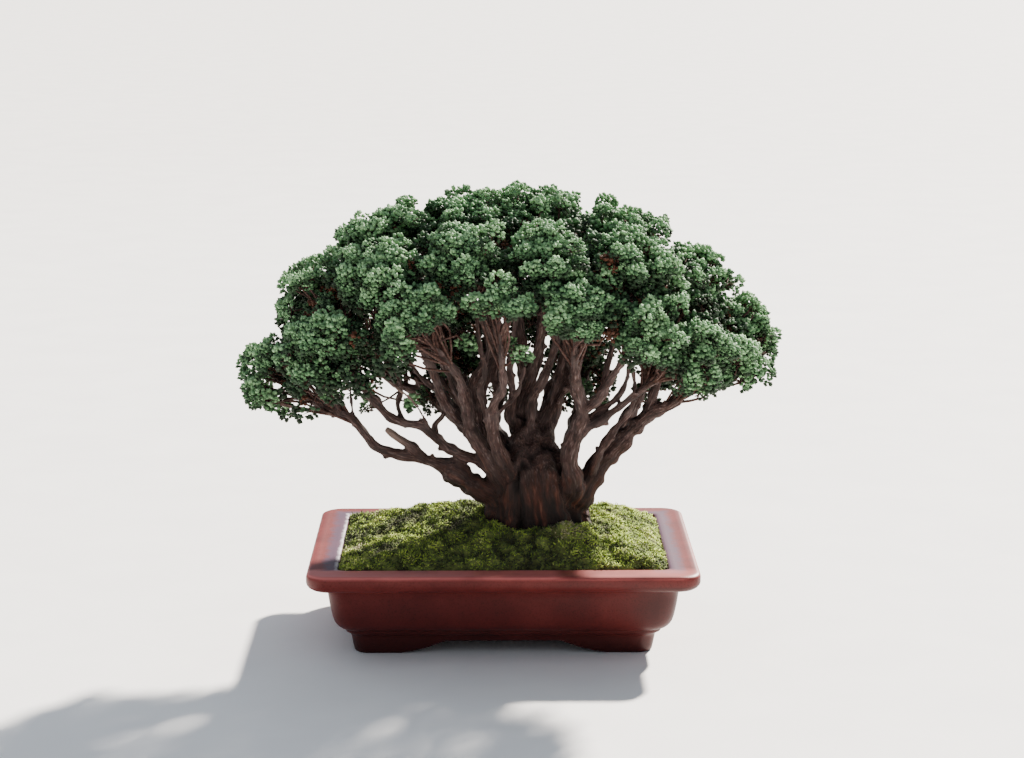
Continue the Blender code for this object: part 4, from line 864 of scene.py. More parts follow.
class Limb:
    """A bough's centre line, from its start deep in its parent to inside the pad it carries."""

    def __init__(self, bough, pads, limbs):
        self.bough = bough
        points = [np.array(point) for point in bough.points]
        if bough.parent != "trunk":
            path = limbs[bough.parent].path
            points[0] = path[np.linalg.norm(path - points[0], axis=1).argmin()]
        if bough.mass:
            points.append(pads[bough.mass].tip_towards(points[-1]))
        shown = lengths_along(smooth_path(points, SAMPLE_SPACING))[-1]
        if bough.mass:
            points.append((1 - HIDDEN_RUN) * points[-1] + HIDDEN_RUN * pads[bough.mass].middle)
        self.path = smooth_path(points, SAMPLE_SPACING)
        self.along = lengths_along(self.path)
        self.frames = frames_along(self.path)
        share = self.along / shown
        girth = GIRTHS.get(bough.name, ((0.0, bough.start_radius), (1.0, bough.tip_radius)))
        taper = np.interp(share, *zip(*girth))
        hidden = np.maximum(share - 1, 0) / max(share[-1] - 1, TINY)
        self.radii = taper * (1 - HIDDEN_THINNING * hidden)


class Bole:
    """The trunk's axis, for the run of its bark."""

    def __init__(self):
        heights = np.linspace(0, BOLE_LEVELS[-1][0], BOLE_RINGS)
        self.path = np.array([(*bole_axis(height), BOLE_FOOT + height) for height in heights])
        self.along = heights
        self.radii = np.array([min(bole_size(height)) for height in heights])
        self.frames = np.broadcast_to(np.array(((0, 0, 1), (1, 0, 0), (0, 1, 0))), (BOLE_RINGS, 3, 3))


class Pad:
    """The room that one mass of foliage keeps to."""

    def __init__(self, mass, others):
        self.name = mass.name
        self.middle = np.array(mass.middle)
        self.half = np.array(mass.half)
        self.walls = []
        for other in others:
            across = np.array(other.middle) - self.middle
            span = np.linalg.norm(across)
            normal = across / span
            mine = np.linalg.norm(normal * self.half)
            theirs = np.linalg.norm(normal * np.array(other.half))
            self.walls.append((normal, span * mine / (mine + theirs) - SPACE_CLEARANCE))

    def pad_reach(self, way):
        """How far it is from the pad's middle to its own outline."""
        half = self.half * (1, 1, UNDERSIDE_SHARE if way[2] < 0 else 1)
        return 1 / np.linalg.norm(way / half)

    def crown_reach(self, way):
        """How far it is to the crown's outline."""
        place = (self.middle - CROWN_MIDDLE) / CROWN_HALF
        way = way / CROWN_HALF
        a, b, c = way.dot(way), place.dot(way), place.dot(place) - 1
        return (math.sqrt(max(b * b - a * c, 0.0)) - b) / a

    def wall_reach(self, way):
        """How far it is to the nearest neighbour's room."""
        reaches = [offset / normal.dot(way) for normal, offset in self.walls if normal.dot(way) > TINY]
        return min(reaches, default=math.inf)

    def core_reach(self, way):
        """How far the pad's dense core goes."""
        return min(CORE_SHARE * self.pad_reach(way), CORE_WALL_SHARE * self.wall_reach(way),
                   self.crown_reach(way) - CORE_UNDER_CROWN)

    def tip_towards(self, point):
        """Where the bough that comes from a point enters this pad."""
        way = unit(point - self.middle)
        return self.middle + way * (self.core_reach(way) + STEM_REACH)


def bole_axis(height):
    """Where the trunk's axis is at a height over the soil."""
    return BOLE_PLACE[0] + BOLE_LEAN * height, BOLE_PLACE[1]


def bole_size(height):
    """The trunk's half width and half depth at a height over the soil."""
    levels = np.array(BOLE_LEVELS).T
    return np.interp(height, levels[0], levels[1]), np.interp(height, levels[0], levels[2])


def bole_radius(angle, height):
    """How far the bark is from the bole's axis, at an angle and a height over the soil."""
    half_width, half_depth = bole_size(height)
    radius = 1 / math.hypot(math.cos(angle) / half_width, math.sin(angle) / half_depth)
    radius += FLUTE_DEPTH * math.cos(FLUTES * angle + FLUTE_TURN)
    for root in ROOT_ANGLES:
        turn = (angle - root + math.pi) % (2 * math.pi) - math.pi
        radius += ROOT_REACH * math.exp(-((turn / ROOT_WIDTH) ** 2) - height / ROOT_FALL)
    return radius


def bole_skin():
    """The trunk's skin from its flat foot to where it divides."""
    rings = []
    for height in np.linspace(0, BOLE_LEVELS[-1][0], BOLE_RINGS):
        x, y = bole_axis(height)
        ring = []
        for angle in 2 * np.pi * np.arange(BOLE_SIDES) / BOLE_SIDES:
            radius = bole_radius(angle, height)
            ring.append((x + radius * math.cos(angle), y + radius * math.sin(angle), BOLE_FOOT + height))
        rings.append(ring)
    return skin(rings)


def stubs(limb, chance):
    """Scars and snapped twigs that stand out of a bough."""
    for along in np.arange(STUBS_FROM, limb.along[-1] - STUB_SPACING, STUB_SPACING):
        step = np.searchsorted(limb.along, along + chance.uniform(-STUB_SPACING / 2, STUB_SPACING / 2))
        way, side, other = limb.frames[step]
        turn = chance.uniform(0, 2 * np.pi)
        out = unit(math.cos(turn) * side + math.sin(turn) * other + STUB_LEAN * way)
        reach = limb.radii[step] + chance.uniform(*STUB_LENGTH)
        radius = min(chance.uniform(*STUB_RADIUS), STUB_LARGEST * limb.radii[step])
        path = np.array([limb.path[step] + out * reach * share for share in (0, 0.5, 1)])
        yield tube(path, [share * radius for share in STUB_TAPER], STUB_SIDES)


def knobbly(limb):
    """A limb's radii, swollen here and there where old shoots have healed over."""
    return limb.radii * (1 + KNOB_SWELL * np.clip(noise_over(limb.path, KNOB_SIZE), *KNOB_RANGE))


def fused_limbs(limbs):
    """The bole, the boughs and their stubs as one skin, without the walls inside."""
    chance = random.Random(SEED)
    shape = Shape()
    shape.add(*bole_skin())
    for limb in limbs.values():
        shape.add(*tube(limb.path, knobbly(limb), BOUGH_SIDES))
        for stub in stubs(limb, chance):
            shape.add(*stub)
    whole = shape.piece("bark", [])
    fuse = whole.modifiers.new("fuse", "REMESH")
    fuse.mode = "VOXEL"
    fuse.voxel_size = BARK_VOXEL
    ease = whole.modifiers.new("ease", "SMOOTH")
    ease.factor = 0.5
    ease.iterations = BARK_SMOOTHING
    whole.modifiers.new("split", "TRIANGULATE")
    return evaluated(whole)


def noise_over(places, size):
    """Smooth noise between -1 and 1, with forms of about this size."""
    return np.array([noise.noise(spot) for spot in (places / size).tolist()])


def nearest_limb(points, limbs):
    """For each point, its place in the frame of the limb that it lies on, and that limb's number."""
    best = np.full(len(points), np.inf)
    local = np.zeros((len(points), 3))
    girth = np.zeros(len(points))
    owner = np.zeros(len(points), int)
    for number, limb in enumerate(limbs):
        reach = limb.radii.max() + BARK_REACH
        near = ((points > limb.path.min(0) - reach) & (points < limb.path.max(0) + reach)).all(1)
        chosen = np.nonzero(near)[0]
        away = np.linalg.norm(points[chosen, None] - limb.path, axis=2) - limb.radii
        step = away.argmin(1)
        gap = away[np.arange(len(chosen)), step]
        closer = gap < best[chosen]
        chosen, step = chosen[closer], step[closer]
        best[chosen] = gap[closer]
        offset = points[chosen] - limb.path[step]
        way, side, other = limb.frames[step].transpose(1, 0, 2)
        run = limb.along[step] + (offset * way).sum(1)
        local[chosen] = np.stack([(offset * side).sum(1), (offset * other).sum(1), run], 1)
        girth[chosen] = limb.radii[step]
        owner[chosen] = number
    return local, girth, owner


def bark_relief(points, spread, girth):
    """How far the bark stands out at each point, and how much painted shade darkens it in its furrows and
    hollows.
    """
    ridges, strips, ribs, dips = (noise_over(spread * (1, 1, form.run), form.size)
                                  for form in (RIDGES, FINE_STRIPS, RIBS, HOLLOWS))
    knots = noise_over(points, KNOTS.size)
    old = girth > OLD_GIRTH
    ribs = ribs * old
    deep = np.clip(-dips - HOLLOW_LEAST, 0, HOLLOW_BLEND) / HOLLOW_BLEND * old
    swell = KNOTS.height * knots + RIDGES.height * (ridges - RIDGE_SINK)
    out = np.clip(girth / STOUT_GIRTH, LEAST_RELIEF, 1.0) * swell
    out += FINE_STRIPS.height * strips + RIBS.height * ribs - HOLLOWS.height * deep
    low = RIDGES.furrow * ridges + FINE_STRIPS.furrow * strips + RIBS.furrow * ribs
    furrow = FURROW_PAINTED_SHADE * np.clip(-low, 0, 1) + HOLLOWS.furrow * deep
    return out, np.clip(furrow, 0, 1)


def make_bark(limbs, material):
    """Trunk, boughs and limbs with their relief: one piece below, and one among the leaves."""
    whole = fused_limbs(limbs)
    points = corners_of(whole.data)
    normals = np.zeros(points.size, np.float32)
    whole.data.vertex_normals.foreach_get("vector", normals)
    faces = np.zeros(3 * len(whole.data.polygons), np.int32)
    whole.data.polygons.foreach_get("vertices", faces)
    faces = faces.reshape(-1, 3)
    bpy.data.objects.remove(whole)
    lines = [Bole(), *limbs.values()]
    local, girth, owner = nearest_limb(points, lines)
    spread = local + owner[:, None] * GRAIN_SHIFT
    out, furrow = bark_relief(points, spread, girth)
    points += out[:, None] * normals.reshape(-1, 3)
    grain = spread / (FIBRE_WIDTH, FIBRE_WIDTH, FIBRE_WIDTH * FIBRE_STRETCH)
    dead = np.array([name.startswith("dead") for name in ("bole", *limbs)])
    ends = np.array([line.along[-1] for line in lines])
    bare = dead[owner] * BARE_LIGHT * np.clip(local[:, 2] / ends[owner] - BARE_FROM, 0, 0.5)
    aged = 1 - ramp(points[:, 2], *AGED_BARK)
    high = points[faces].mean(1)[:, 2] > HIGH_BARK
    nodes = ["trunk", *(bough.name for bough in BOUGHS if bough.mass)]
    for name, chosen, stands_for in (("bark", ~high, nodes), ("bark_in_crown", high, [])):
        used, corners = np.unique(faces[chosen], return_inverse=True)
        piece = new_piece(name, points[used], corners.reshape(-1, 3), [material])
        set_numbers(piece, "grain", grain[used], "FLOAT_VECTOR")
        for key, values in {"furrow": furrow, "bare": bare, "aged": aged}.items():
            set_numbers(piece, key, values[used])
        settle_piece(piece, "bark", *stands_for)


Tufts = namedtuple("Tufts", "places ways sizes kinds")


def frame_around(way):
    """Two sides square to a way, and the way itself."""
    side = unit(np.cross(way, SKEW))
    return np.stack([side, np.cross(way, side), way])


def ball_ways(count, lowest):
    """Ways spread evenly over a ball from its top down to this height."""
    golden = math.pi * (3 - math.sqrt(5))
    up = 1 - (1 - lowest) * (np.arange(count) + 0.5) / count
    flat = np.sqrt(1 - up ** 2)
    turn = golden * np.arange(count)
    return np.stack([flat * np.cos(turn), flat * np.sin(turn), up], 1)


Clump = namedtuple("Clump", "place out radius depth habit")


def crown_depth(places):
    """How far out places lie, as a share of the crown's half size."""
    return np.linalg.norm((places - CROWN_MIDDLE) / CROWN_HALF, axis=-1)


def underside(place):
    """How low the leaves may hang at a place."""
    lift = ramp(-place[1], *FRONT_LEAVES) * np.interp(place[0], *zip(*FRONT_OPENING))
    return np.interp(place[0], *zip(*UNDERSIDE)) + lift


def in_dip(place):
    """Whether a place is where the crown's outline dips."""
    return any(math.dist(place * DIP_RUN, dip[:3] * DIP_RUN) < dip[3] for dip in np.array(DIPS))


def sunny_clumps(pad, chance):
    """Clumps over the outer side of a pad, within the crown and the pad's own room, and its lone ones."""
    for way in ball_ways(CLUMPS, CLUMPS_LOWEST):
        way = unit(way + chance.normal(0, CLUMP_JITTER, 3))
        reach = min(SPRAY_OVERREACH * pad.pad_reach(way), pad.crown_reach(way),
                    pad.wall_reach(way) + WALL_OVERLAP)
        radius = chance.uniform(*CLUMP_RADIUS)
        place = pad.middle + way * (reach - radius - chance.uniform(*CLUMP_SINK))
        depth = crown_depth(place)
        hangs = place[2] - 0.5 * radius < underside(place) or in_dip(place + way * 0.5 * radius)
        if not hangs and (depth > EXPOSED or chance.random() < INNER_CLUMPS):
            yield Clump(place, way, radius, depth, SUNNY_HABIT)
    for *place, radius in LONE_CLUMPS.get(pad.name, ()):
        habit = SHADY_HABIT if place[1] > SHADED_FROM else SUNNY_HABIT
        yield Clump(np.array(place), np.array((0, 0, 1.0)), radius, LONE_DEPTH, habit)


def clothing_clumps(pad, limb, chance):
    """Clumps on short shoots along a bough at the back, low between the pads."""
    for _ in range(CLOTHED.get(pad.name, 0)):
        spot = limb.path[int(chance.uniform(*CLOTHED_SPAN) * (len(limb.path) - 1))]
        way = unit(chance.normal(0, 1, 3) * CLOTHED_SPREAD)
        radius = chance.uniform(*SHADY_RADIUS)
        yield Clump(spot + way * CLOTHED_REACH, way, radius, LONE_DEPTH, SHADY_HABIT)


def shady_clumps(pads, chance):
    """Clumps in the shade between the pads, each given to the pad nearest to it."""
    owned = {name: [] for name in pads}
    middles = np.array([pad.middle for pad in pads.values()])
    for way in ball_ways(SHADY_CLUMPS, SHADY_LOWEST):
        way = unit(way + chance.normal(0, SHADY_JITTER, 3))
        place = CROWN_MIDDLE + CROWN_HALF * way * chance.uniform(*SHADY_DEPTH)
        if place[2] > underside(place) + SHADY_LIFT and not in_dip(place):
            nearest = list(pads)[np.linalg.norm(middles - place, axis=1).argmin()]
            radius = chance.uniform(*SHADY_RADIUS)
            owned[nearest].append(Clump(place, way, radius, crown_depth(place), SHADY_HABIT))
    return owned


def leaf_kinds(clump, spread, chance):
    """Which colour each tuft of a clump takes: its number in the list of leaf colours."""
    # Shady clumps take the two darkest greens, for older leaves and painted shade, and some are withered
    # brown
    if clump.habit is SHADY_HABIT:
        withered = chance.random(len(spread)) < WITHERED
        return np.where(withered, len(GREENS) + 1, int(clump.depth > DIM_DEPTH))
    # Sunny tufts are painted lighter further out in the crown and where they face up, as painted light
    light = SUNNY_GREEN + OUTER_LIGHT * (clump.depth - EXPOSED) / (1 - EXPOSED) + TOP_LIGHT * spread[:, 2]
    shade = light + chance.normal(0, CLUMP_VARIETY) + chance.normal(0, TUFT_VARIETY, len(spread))
    return np.clip(np.round(shade), 0, len(GREENS) - 1).astype(int) + 1


def grow_pad(limb, clumps, chance):
    """The twigs of one pad, which leave its limb, and the tufts that they bear."""
    twigs, tufts = [], []
    for clump in clumps:
        outward = unit((clump.place - CROWN_MIDDLE) / CROWN_HALF ** 2)
        lean = unit(TUFT_OUTWARD * clump.out + outward + (0, 0, TUFT_UPWARD))
        start = limb.path[int(chance.uniform(*FORKING) * (len(limb.path) - 1))]
        middle = (1 - TWIG_MIDDLE) * start + TWIG_MIDDLE * clump.place
        middle = middle + chance.normal(0, TWIG_BEND, 3) + (0, 0, TWIG_ARCH)
        twigs.append(smooth_path((start, middle, clump.place), TWIG_STEP))
        habit = clump.habit
        spread = ball_ways(habit.tufts, math.cos(TUFT_CAP)) @ frame_around(lean)
        spread = unit(spread + chance.normal(0, TUFT_JITTER, (habit.tufts, 3)))
        size = chance.uniform(*TUFT_SIZE, habit.tufts)
        inset = habit.lobe_start + LOBE_INSET * habit.lobe_length
        places = clump.place + spread * (clump.radius - inset)
        kinds = leaf_kinds(clump, spread, chance)
        tufts.append((Tufts(places, unit(spread + TUFT_LEAN * lean), size, kinds), habit))
    return twigs, tufts


def lobes_of(tufts, habit, chance):
    """Blunt leafy lobes that stand out all over the upper side of each tuft."""
    count, lobes = len(tufts.places), habit.lobes
    turns = chance.uniform(0, 2 * np.pi, count)
    flat = unit(ball_ways(lobes, math.cos(LOBE_CAP)) * (1, COMB_WIDTH, 1))
    cos, sin = np.cos(turns)[:, None], np.sin(turns)[:, None]
    local = np.stack([flat[:, 0] * cos - flat[:, 1] * sin, flat[:, 0] * sin + flat[:, 1] * cos,
                      np.broadcast_to(flat[:, 2], (count, lobes))], 2)
    local = unit(local + chance.normal(0, LOBE_JITTER, (count, lobes, 3)))
    sides = unit(np.cross(tufts.ways, SKEW))
    ways = local @ np.stack([sides, np.cross(tufts.ways, sides), tufts.ways], 1)
    sizes = tufts.sizes[:, None] * chance.uniform(*LOBE_SIZE, (count, lobes))
    roots = tufts.places[:, None] + ways * habit.lobe_start * tufts.sizes[:, None, None]
    kinds = np.broadcast_to(tufts.kinds[:, None], sizes.shape)
    # Lobes that face up are painted lighter and those that face down darker, as painted light and shade
    lit = kinds + np.round(LOBE_LIGHT * (ways[:, :, 2] - LOBE_LIT_FROM)).astype(int)
    kinds = np.where(kinds > len(GREENS), kinds, np.clip(lit, 0, len(GREENS)))
    return (roots.reshape(-1, 3), ways.reshape(-1, 3), (habit.lobe_length * sizes).ravel(),
            (habit.lobe_width * sizes).ravel(), kinds.ravel())


def lobe_mesh(roots, ways, lengths, widths):
    """Spindles, fattest near the tip."""
    sides = unit(np.cross(ways, SKEW))
    others = np.cross(ways, sides)
    belly = roots + ways * (LOBE_BELLY * lengths)[:, None]
    turns = 2 * np.pi * np.arange(LOBE_SIDES) / LOBE_SIDES
    rings = [belly + (widths / 2)[:, None] * (math.cos(a) * sides + LOBE_FLATNESS * math.sin(a) * others)
             for a in turns]
    verts = np.stack([roots, *rings, roots + ways * lengths[:, None]], 1)
    around = [(1 + side, 1 + (side + 1) % LOBE_SIDES) for side in range(LOBE_SIDES)]
    faces = [(0, after, before) for before, after in around]
    faces += [(LOBE_SIDES + 1, before, after) for before, after in around]
    every = (LOBE_SIDES + 2) * np.arange(len(roots))[:, None, None] + np.array(faces)
    return verts.reshape(-1, 3), every.reshape(-1, 3)


def make_foliage(pads, limbs, leaves, twig_material):
    """The crown: leaf pieces for groups of neighbouring pads, and one piece of all twigs."""
    chance = np.random.default_rng(SEED)
    twigs = Shape()
    shady = shady_clumps(pads, chance)
    bearers = {limb.bough.mass: limb for limb in limbs.values()}
    for number, names in enumerate(np.array_split(list(pads), FOLIAGE_PIECES)):
        leaf_shape = Shape()
        for name in names:
            pad, limb = pads[name], bearers[name]
            clumps = [*sunny_clumps(pad, chance), *shady[name], *clothing_clumps(pad, limb, chance)]
            paths, grown = grow_pad(limb, clumps, chance)
            for path in paths:
                twigs.add(*tube(path, np.linspace(*TWIG_RADIUS, len(path)), TWIG_SIDES))
            for tufts, habit in grown:
                roots = tufts.places - tufts.ways * BRANCHLET_ROOT
                radii = np.full(len(roots), BRANCHLET_RADIUS)
                twigs.add(*spikes(roots, tufts.places + tufts.ways * BRANCHLET_TIP, radii))
                *lobes, kinds = lobes_of(tufts, habit, chance)
                leaf_shape.add(*lobe_mesh(*lobes), np.repeat(kinds, 2 * LOBE_SIDES))
        piece = leaf_shape.piece(f"leaves_{number + 1}", leaves)
        settle_piece(piece, "foliage", *(f"foliage_{name}" for name in names))
    settle_piece(twigs.piece("twigs", [twig_material]), "bark")


def rounded_rectangle(inset, height, radius, corner_steps=CORNER_STEPS, side_steps=1):
    """A loop this far in from the rim's edge, anticlockwise from above."""
    half_x = POT_LENGTH / 2 - inset - radius
    half_y = POT_WIDTH / 2 - inset - radius
    corners = ((half_x, half_y), (-half_x, half_y), (-half_x, -half_y), (half_x, -half_y))
    loop = []
    for turn, (x, y) in enumerate(corners):
        arc = [(turn + step / corner_steps) * math.pi / 2 for step in range(corner_steps + 1)]
        loop += [np.array((x + radius * math.cos(a), y + radius * math.sin(a), height)) for a in arc]
        next_x, next_y = corners[(turn + 1) % 4]
        start = loop[-1]
        run = np.array((next_x - x, next_y - y, 0.0))
        loop += [start + run * step / side_steps for step in range(1, side_steps)]
    return loop


def feet_opening(half, along):
    """The low cloud-shaped cut between two feet, run right through the pot."""
    side = smooth_path([(half - inset, 0.0, share * FEET_OPENING_HEIGHT)
                        for inset, share in FEET_OPENING_SIDE], FEET_OPENING_STEP)
    side = [(half, -CUTTER_REACH), *((x, z) for x, _, z in side)]
    outline = side + [(-across, up) for across, up in reversed(side)]
    reach = max(POT_LENGTH, POT_WIDTH)
    if along == "Y":
        return [[(across, far, up) for across, up in outline] for far in (reach, -reach)]
    return [[(far, across, up) for across, up in outline] for far in (-reach, reach)]


def drain_hole(x):
    """A round cut through the pot's base."""
    levels = (RECESS_HEIGHT - CUTTER_REACH, POT_PROFILE[-1][1] + CUTTER_REACH)
    turn = 2 * np.pi * np.arange(DRAIN_SIDES) / DRAIN_SIDES
    return [[(x + DRAIN_RADIUS * math.cos(a), DRAIN_RADIUS * math.sin(a), z) for a in turn]
            for z in levels]


def make_pot(material):
    """Pot and feet in one piece: a skin over the profile, cut away between the feet and drilled."""
    loops = [rounded_rectangle(*row, side_steps=POT_SIDE_STEPS) for row in POT_PROFILE]
    pot = new_piece("clay_pot", *skin(loops), [material])
    recess = [rounded_rectangle(RECESS_INSET, z, RECESS_CORNER) for z in (-CUTTER_REACH, RECESS_HEIGHT)]
    cuts = (recess, feet_opening(FEET_OPENING_HALF_LONG, "Y"),
            feet_opening(FEET_OPENING_HALF_SHORT, "X"), drain_hole(-DRAIN_OFFSET), drain_hole(DRAIN_OFFSET))
    cutters = [new_piece(f"cutter_{number}", *skin(cut), []) for number, cut in enumerate(cuts)]
    for cutter in cutters:
        cut = pot.modifiers.new(cutter.name, "BOOLEAN")
        cut.operation = "DIFFERENCE"
        cut.object = cutter
    bevel = pot.modifiers.new("soft_edges", "BEVEL")
    bevel.width = CUT_EDGE
    bevel.segments = 2
    bevel.limit_method = "ANGLE"
    bevel.angle_limit = math.radians(CUT_ANGLE)
    evaluated(pot)
    for cutter in cutters:
        bpy.data.objects.remove(cutter)
    pot.data.shade_smooth()
    pot.data.set_sharp_from_angle(angle=math.radians(SHARP_ANGLE))
    mark_clay_and_paint_light(pot)
    feet = [name for name in frame["nodes"] if name.startswith("pot_foot")]
    settle_piece(pot, "unglazed_clay", "pot", *feet)


def mark_clay_and_paint_light(pot):
    """Where the clay has its dull bloom, its crust of lime, its pale edges, worn and with painted light, and
    its darkening with damp and painted shade.
    """
    x, y, z = corners_of(pot.data).T
    inset = np.minimum(POT_LENGTH / 2 - np.abs(x), POT_WIDTH / 2 - np.abs(y))
    on_rim = ramp(z, *RIM_TOP)
    at_ends = np.maximum(ramp(np.abs(x), *BLOOM_ENDS), LEAST_BLOOM)
    set_numbers(pot, "bloom", on_rim * ramp(inset, *BLOOM_INSET) * at_ends)
    on_lip = 1 - ramp(np.abs(inset - RIM_INNER_EDGE), 0, CRUST_WIDTH)
    set_numbers(pot, "crust", on_rim * on_lip * np.where(x < CRUSTED_END, *CRUST))
    # The rim's edges are worn pale all round; on the sunlit right front and on the front strip the pale
    # colour is painted light
    edge = (1 - ramp(inset, 0, WORN_WIDTH)) * ramp(z, *WORN_HEIGHT)
    strip = ramp(-y, *FRONT_STRIP) * on_rim
    right = (x > SUNLIT_FROM) & (y < 0)
    worn_and_lit = np.maximum(np.where(right, *EDGE_WEAR_AND_LIGHT) * edge, np.where(right, *FRONT_STRIP_LIGHT) * strip)
    set_numbers(pot, "worn_and_lit", worn_and_lit)
    # Painted shade on the right end, and darkening towards the foot with damp and painted shade
    painted_end_shade = END_PAINTED_SHADE * ramp(x, *PAINTED_SHADE_END) * (z < PAINTED_SHADE_END_TOP)
    set_numbers(pot, "damp_and_shade", np.maximum(np.interp(z, *zip(*DAMP_AND_SHADE_HEIGHTS)), painted_end_shade))


def moss_loops():
    """Loops of the moss carpet's upper side, from the pot's wall in to the trunk."""
    wall = np.array(rounded_rectangle(MOSS_INSET, 0.0, MOSS_CORNER, MOSS_CORNER_STEPS, MOSS_SIDE_STEPS))
    around = wall[:, :2] - BOLE_PLACE
    scale = 1 / np.hypot(around[:, 0] / SEAT_HALF_WIDTH, around[:, 1] / SEAT_HALF_DEPTH)
    seat = BOLE_PLACE + around * scale[:, None]
    for share in np.linspace(0, 1, MOSS_RINGS):
        height = MOSS_EDGE_HEIGHT + (MOSS_SEAT_HEIGHT - MOSS_EDGE_HEIGHT) * share ** MOUND_CURVE
        flat = wall[:, :2] * (1 - share) + seat * share
        yield np.column_stack([flat, np.full(len(flat), height)])
    for share in np.linspace(1, SEAT_CENTRE_SHARE, MOSS_SEAT_RINGS)[1:]:
        flat = BOLE_PLACE + (seat - BOLE_PLACE) * share
        yield np.column_stack([flat, np.full(len(flat), MOSS_SEAT_HEIGHT)])


def cushions_over(places, size):
    """Rounded cushions of about this size: 1 at the middle of each and 0 between them."""
    spots = (places * (1, 1, 0) / size).tolist()
    return np.array([max(1 - CUSHION_FALL * noise.voronoi(spot)[0][0] ** 2, 0.0) for spot in spots])


def make_moss_bed(material):
    """The mound with its cushions and swells; it returns the corners and triangles."""
    loops = list(moss_loops())
    for loop in loops:
        for size, height in CUSHIONS:
            loop[:, 2] += height * (cushions_over(loop, size) - 0.5)
        for x, y, size, height in SWELLS:
            away = np.hypot(loop[:, 0] - x, loop[:, 1] - y) / size
            loop[:, 2] += height * np.exp(-away ** 2)
    under = loops[0] * (1, 1, 0) + (0, 0, MOSS_UNDER_EDGE)
    inside = loops[-1] * (1, 1, 0) + (0, 0, MOSS_UNDER_MIDDLE)
    verts, faces = skin([inside, under, *loops])
    settle_piece(new_piece("moss_bed", verts, faces, [material]), "moss", "moss")
    return verts, faces


def shoot_kinds(roots, kinds, chance):
    """Which colour each shoot takes: painted lighter to the right and on the cushions, as painted light, and
    dry in a few places.
    """
    flat = roots * (1, 1, 0)
    drift = sum(share * noise_over(flat + shift, size) for shift, size, share in MOSS_DRIFTS)
    raised = cushions_over(roots, CUSHIONS[0][0])
    # Lighter towards the right: painted sunlight
    fresh = ramp(roots[:, 0], *PAINTED_SUN_SPAN)
    light = MOSS_GREEN + RIGHT_PAINTED_LIGHT * fresh + RAISED_PAINTED_LIGHT * raised + DRIFT_LIGHT * drift
    shade = np.round(light + chance.normal(0, SHOOT_VARIETY, len(roots)))
    chosen = np.clip(shade, 0, kinds - 2).astype(int)
    for x, y, radius in DRY_MOSS:
        edge = chance.normal(0, DRY_EDGE * radius, len(roots))
        away = np.hypot(roots[:, 0] - x, roots[:, 1] - y) + edge
        chosen[(away < radius) & (chance.random(len(roots)) < DRY_SHARE)] = kinds - 1
    return chosen


def make_moss_shoots(verts, faces, materials):
    """Shoots all over the upper side of the moss bed."""
    chance = np.random.default_rng(SEED)
    corners = verts[faces]
    cross = np.cross(corners[:, 1] - corners[:, 0], corners[:, 2] - corners[:, 0])
    area = np.linalg.norm(cross, axis=1) * (cross[:, 2] > 0)
    picked = chance.choice(len(faces), MOSS_SHOOTS, p=area / area.sum())
    weights = chance.dirichlet((1, 1, 1), MOSS_SHOOTS)
    roots = (corners[picked] * weights[:, :, None]).sum(1)
    tilt = chance.normal(0, SHOOT_TILT, (MOSS_SHOOTS, 3)) * SHOOT_SPREAD
    ways = unit(unit(cross[picked]) + tilt)
    shortest, longest = SHOOT_LENGTH
    pile = np.clip(0.5 + noise_over(roots * (1, 1, 0), PILE_PATCH), 0, 1)
    lengths = (shortest + (longest - shortest) * pile) * chance.uniform(*SHOOT_GROWTH, MOSS_SHOOTS)
    radii = SHOOT_RADIUS * chance.uniform(*SHOOT_GIRTH, MOSS_SHOOTS)
    kinds = shoot_kinds(roots, len(materials), chance)
    mesh = spikes(roots - ways * SHOOT_ROOT, roots + ways * lengths[:, None], radii)
    settle_piece(new_piece("moss_shoots", *mesh, materials, np.repeat(kinds, 4)), "moss")


def add_light(name, kind, power, colour, place, turn, **shape):
    """A lamp at a place, turned by these angles in radians."""
    lamp = bpy.data.lights.new(name, kind)
    lamp.energy = power
    lamp.color = linear(colour)[:3]
    for key, value in shape.items():
        setattr(lamp, key, value)
    light = bpy.data.objects.new(name, lamp)
    light.location = place
    light.rotation_euler = turn
    bpy.context.scene.collection.objects.link(light)


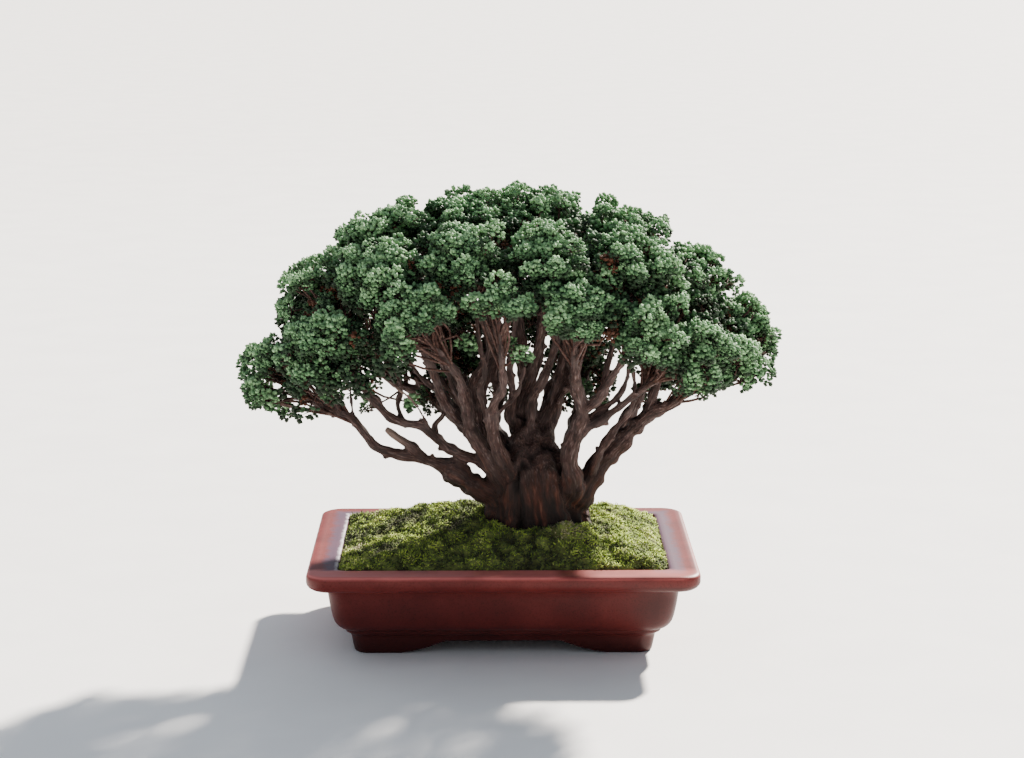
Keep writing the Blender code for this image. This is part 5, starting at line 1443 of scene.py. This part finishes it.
def make_lights():
    """A far key light, and a softbox that shines at the middle of the crown."""
    key_turn = (math.radians(90 - KEY_HEIGHT), 0, math.radians(90 + KEY_AZIMUTH))
    add_light("key", "SUN", KEY_POWER, "#fff6ec", (0, 0, 0), key_turn, angle=math.radians(KEY_SPREAD))
    x, y, z = np.subtract(SOFTBOX_PLACE, CROWN_MIDDLE)
    softbox_turn = (math.atan2(math.hypot(x, y), z), 0, math.atan2(y, x) + math.pi / 2)
    add_light("softbox", "AREA", SOFTBOX_POWER, "#e6eefb", np.add(SOFTBOX_PLACE, PLANT_PLACE),
              softbox_turn, size=SOFTBOX_SIZE)


def make_studio():
    """A plain pale table, the two lights, and soft light from all round."""
    verts = [(-TABLE_HALF, -TABLE_HALF, 0), (TABLE_HALF, -TABLE_HALF, 0),
             (TABLE_HALF, TABLE_HALF, 0), (-TABLE_HALF, TABLE_HALF, 0)]
    table = new_piece("table", verts, [(0, 1, 2), (0, 2, 3)], [pale_plaster()])
    make_lights()
    world = bpy.data.worlds.new("studio")
    world.use_nodes = True
    world.node_tree.nodes["Background"].inputs["Color"].default_value = linear("#dce5f2")
    world.node_tree.nodes["Background"].inputs["Strength"].default_value = SKY_STRENGTH
    bpy.context.scene.world = world


def make_camera():
    """The camera of the photograph's view, set by the pot."""
    lens = bpy.data.cameras.new("camera")
    lens.lens = LENS
    camera = bpy.data.objects.new("camera", lens)
    camera.location = np.add(CAMERA_PLACE, PLANT_PLACE)
    camera.rotation_euler = [math.radians(turn) for turn in CAMERA_TURN]
    bpy.context.scene.collection.objects.link(camera)
    bpy.context.scene.camera = camera


def main():
    make_camera()
    make_studio()
    pads = {mass.name: Pad(mass, [other for other in MASSES if other is not mass]) for mass in MASSES}
    limbs = {}
    for bough in BOUGHS + SIDE_LIMBS:
        limbs[bough.name] = Limb(bough, pads, limbs)
    make_pot(unglazed_clay())
    frame["nodes"]["soil"].data.materials.clear()
    frame["nodes"]["soil"].data.materials.append(potting_soil())
    mound = make_moss_bed(moss_bed())
    shoots = [moss_shoots(number, colour) for number, colour in enumerate(MOSS_COLOURS)]
    make_moss_shoots(*mound, shoots)
    make_bark(limbs, fibrous_bark())
    leaf_colours = (INNER_GREEN, *GREENS, WITHERED_BROWN)
    leaves = [scale_leaves(number, colour) for number, colour in enumerate(leaf_colours)]
    make_foliage(pads, limbs, leaves, young_bark())


main()
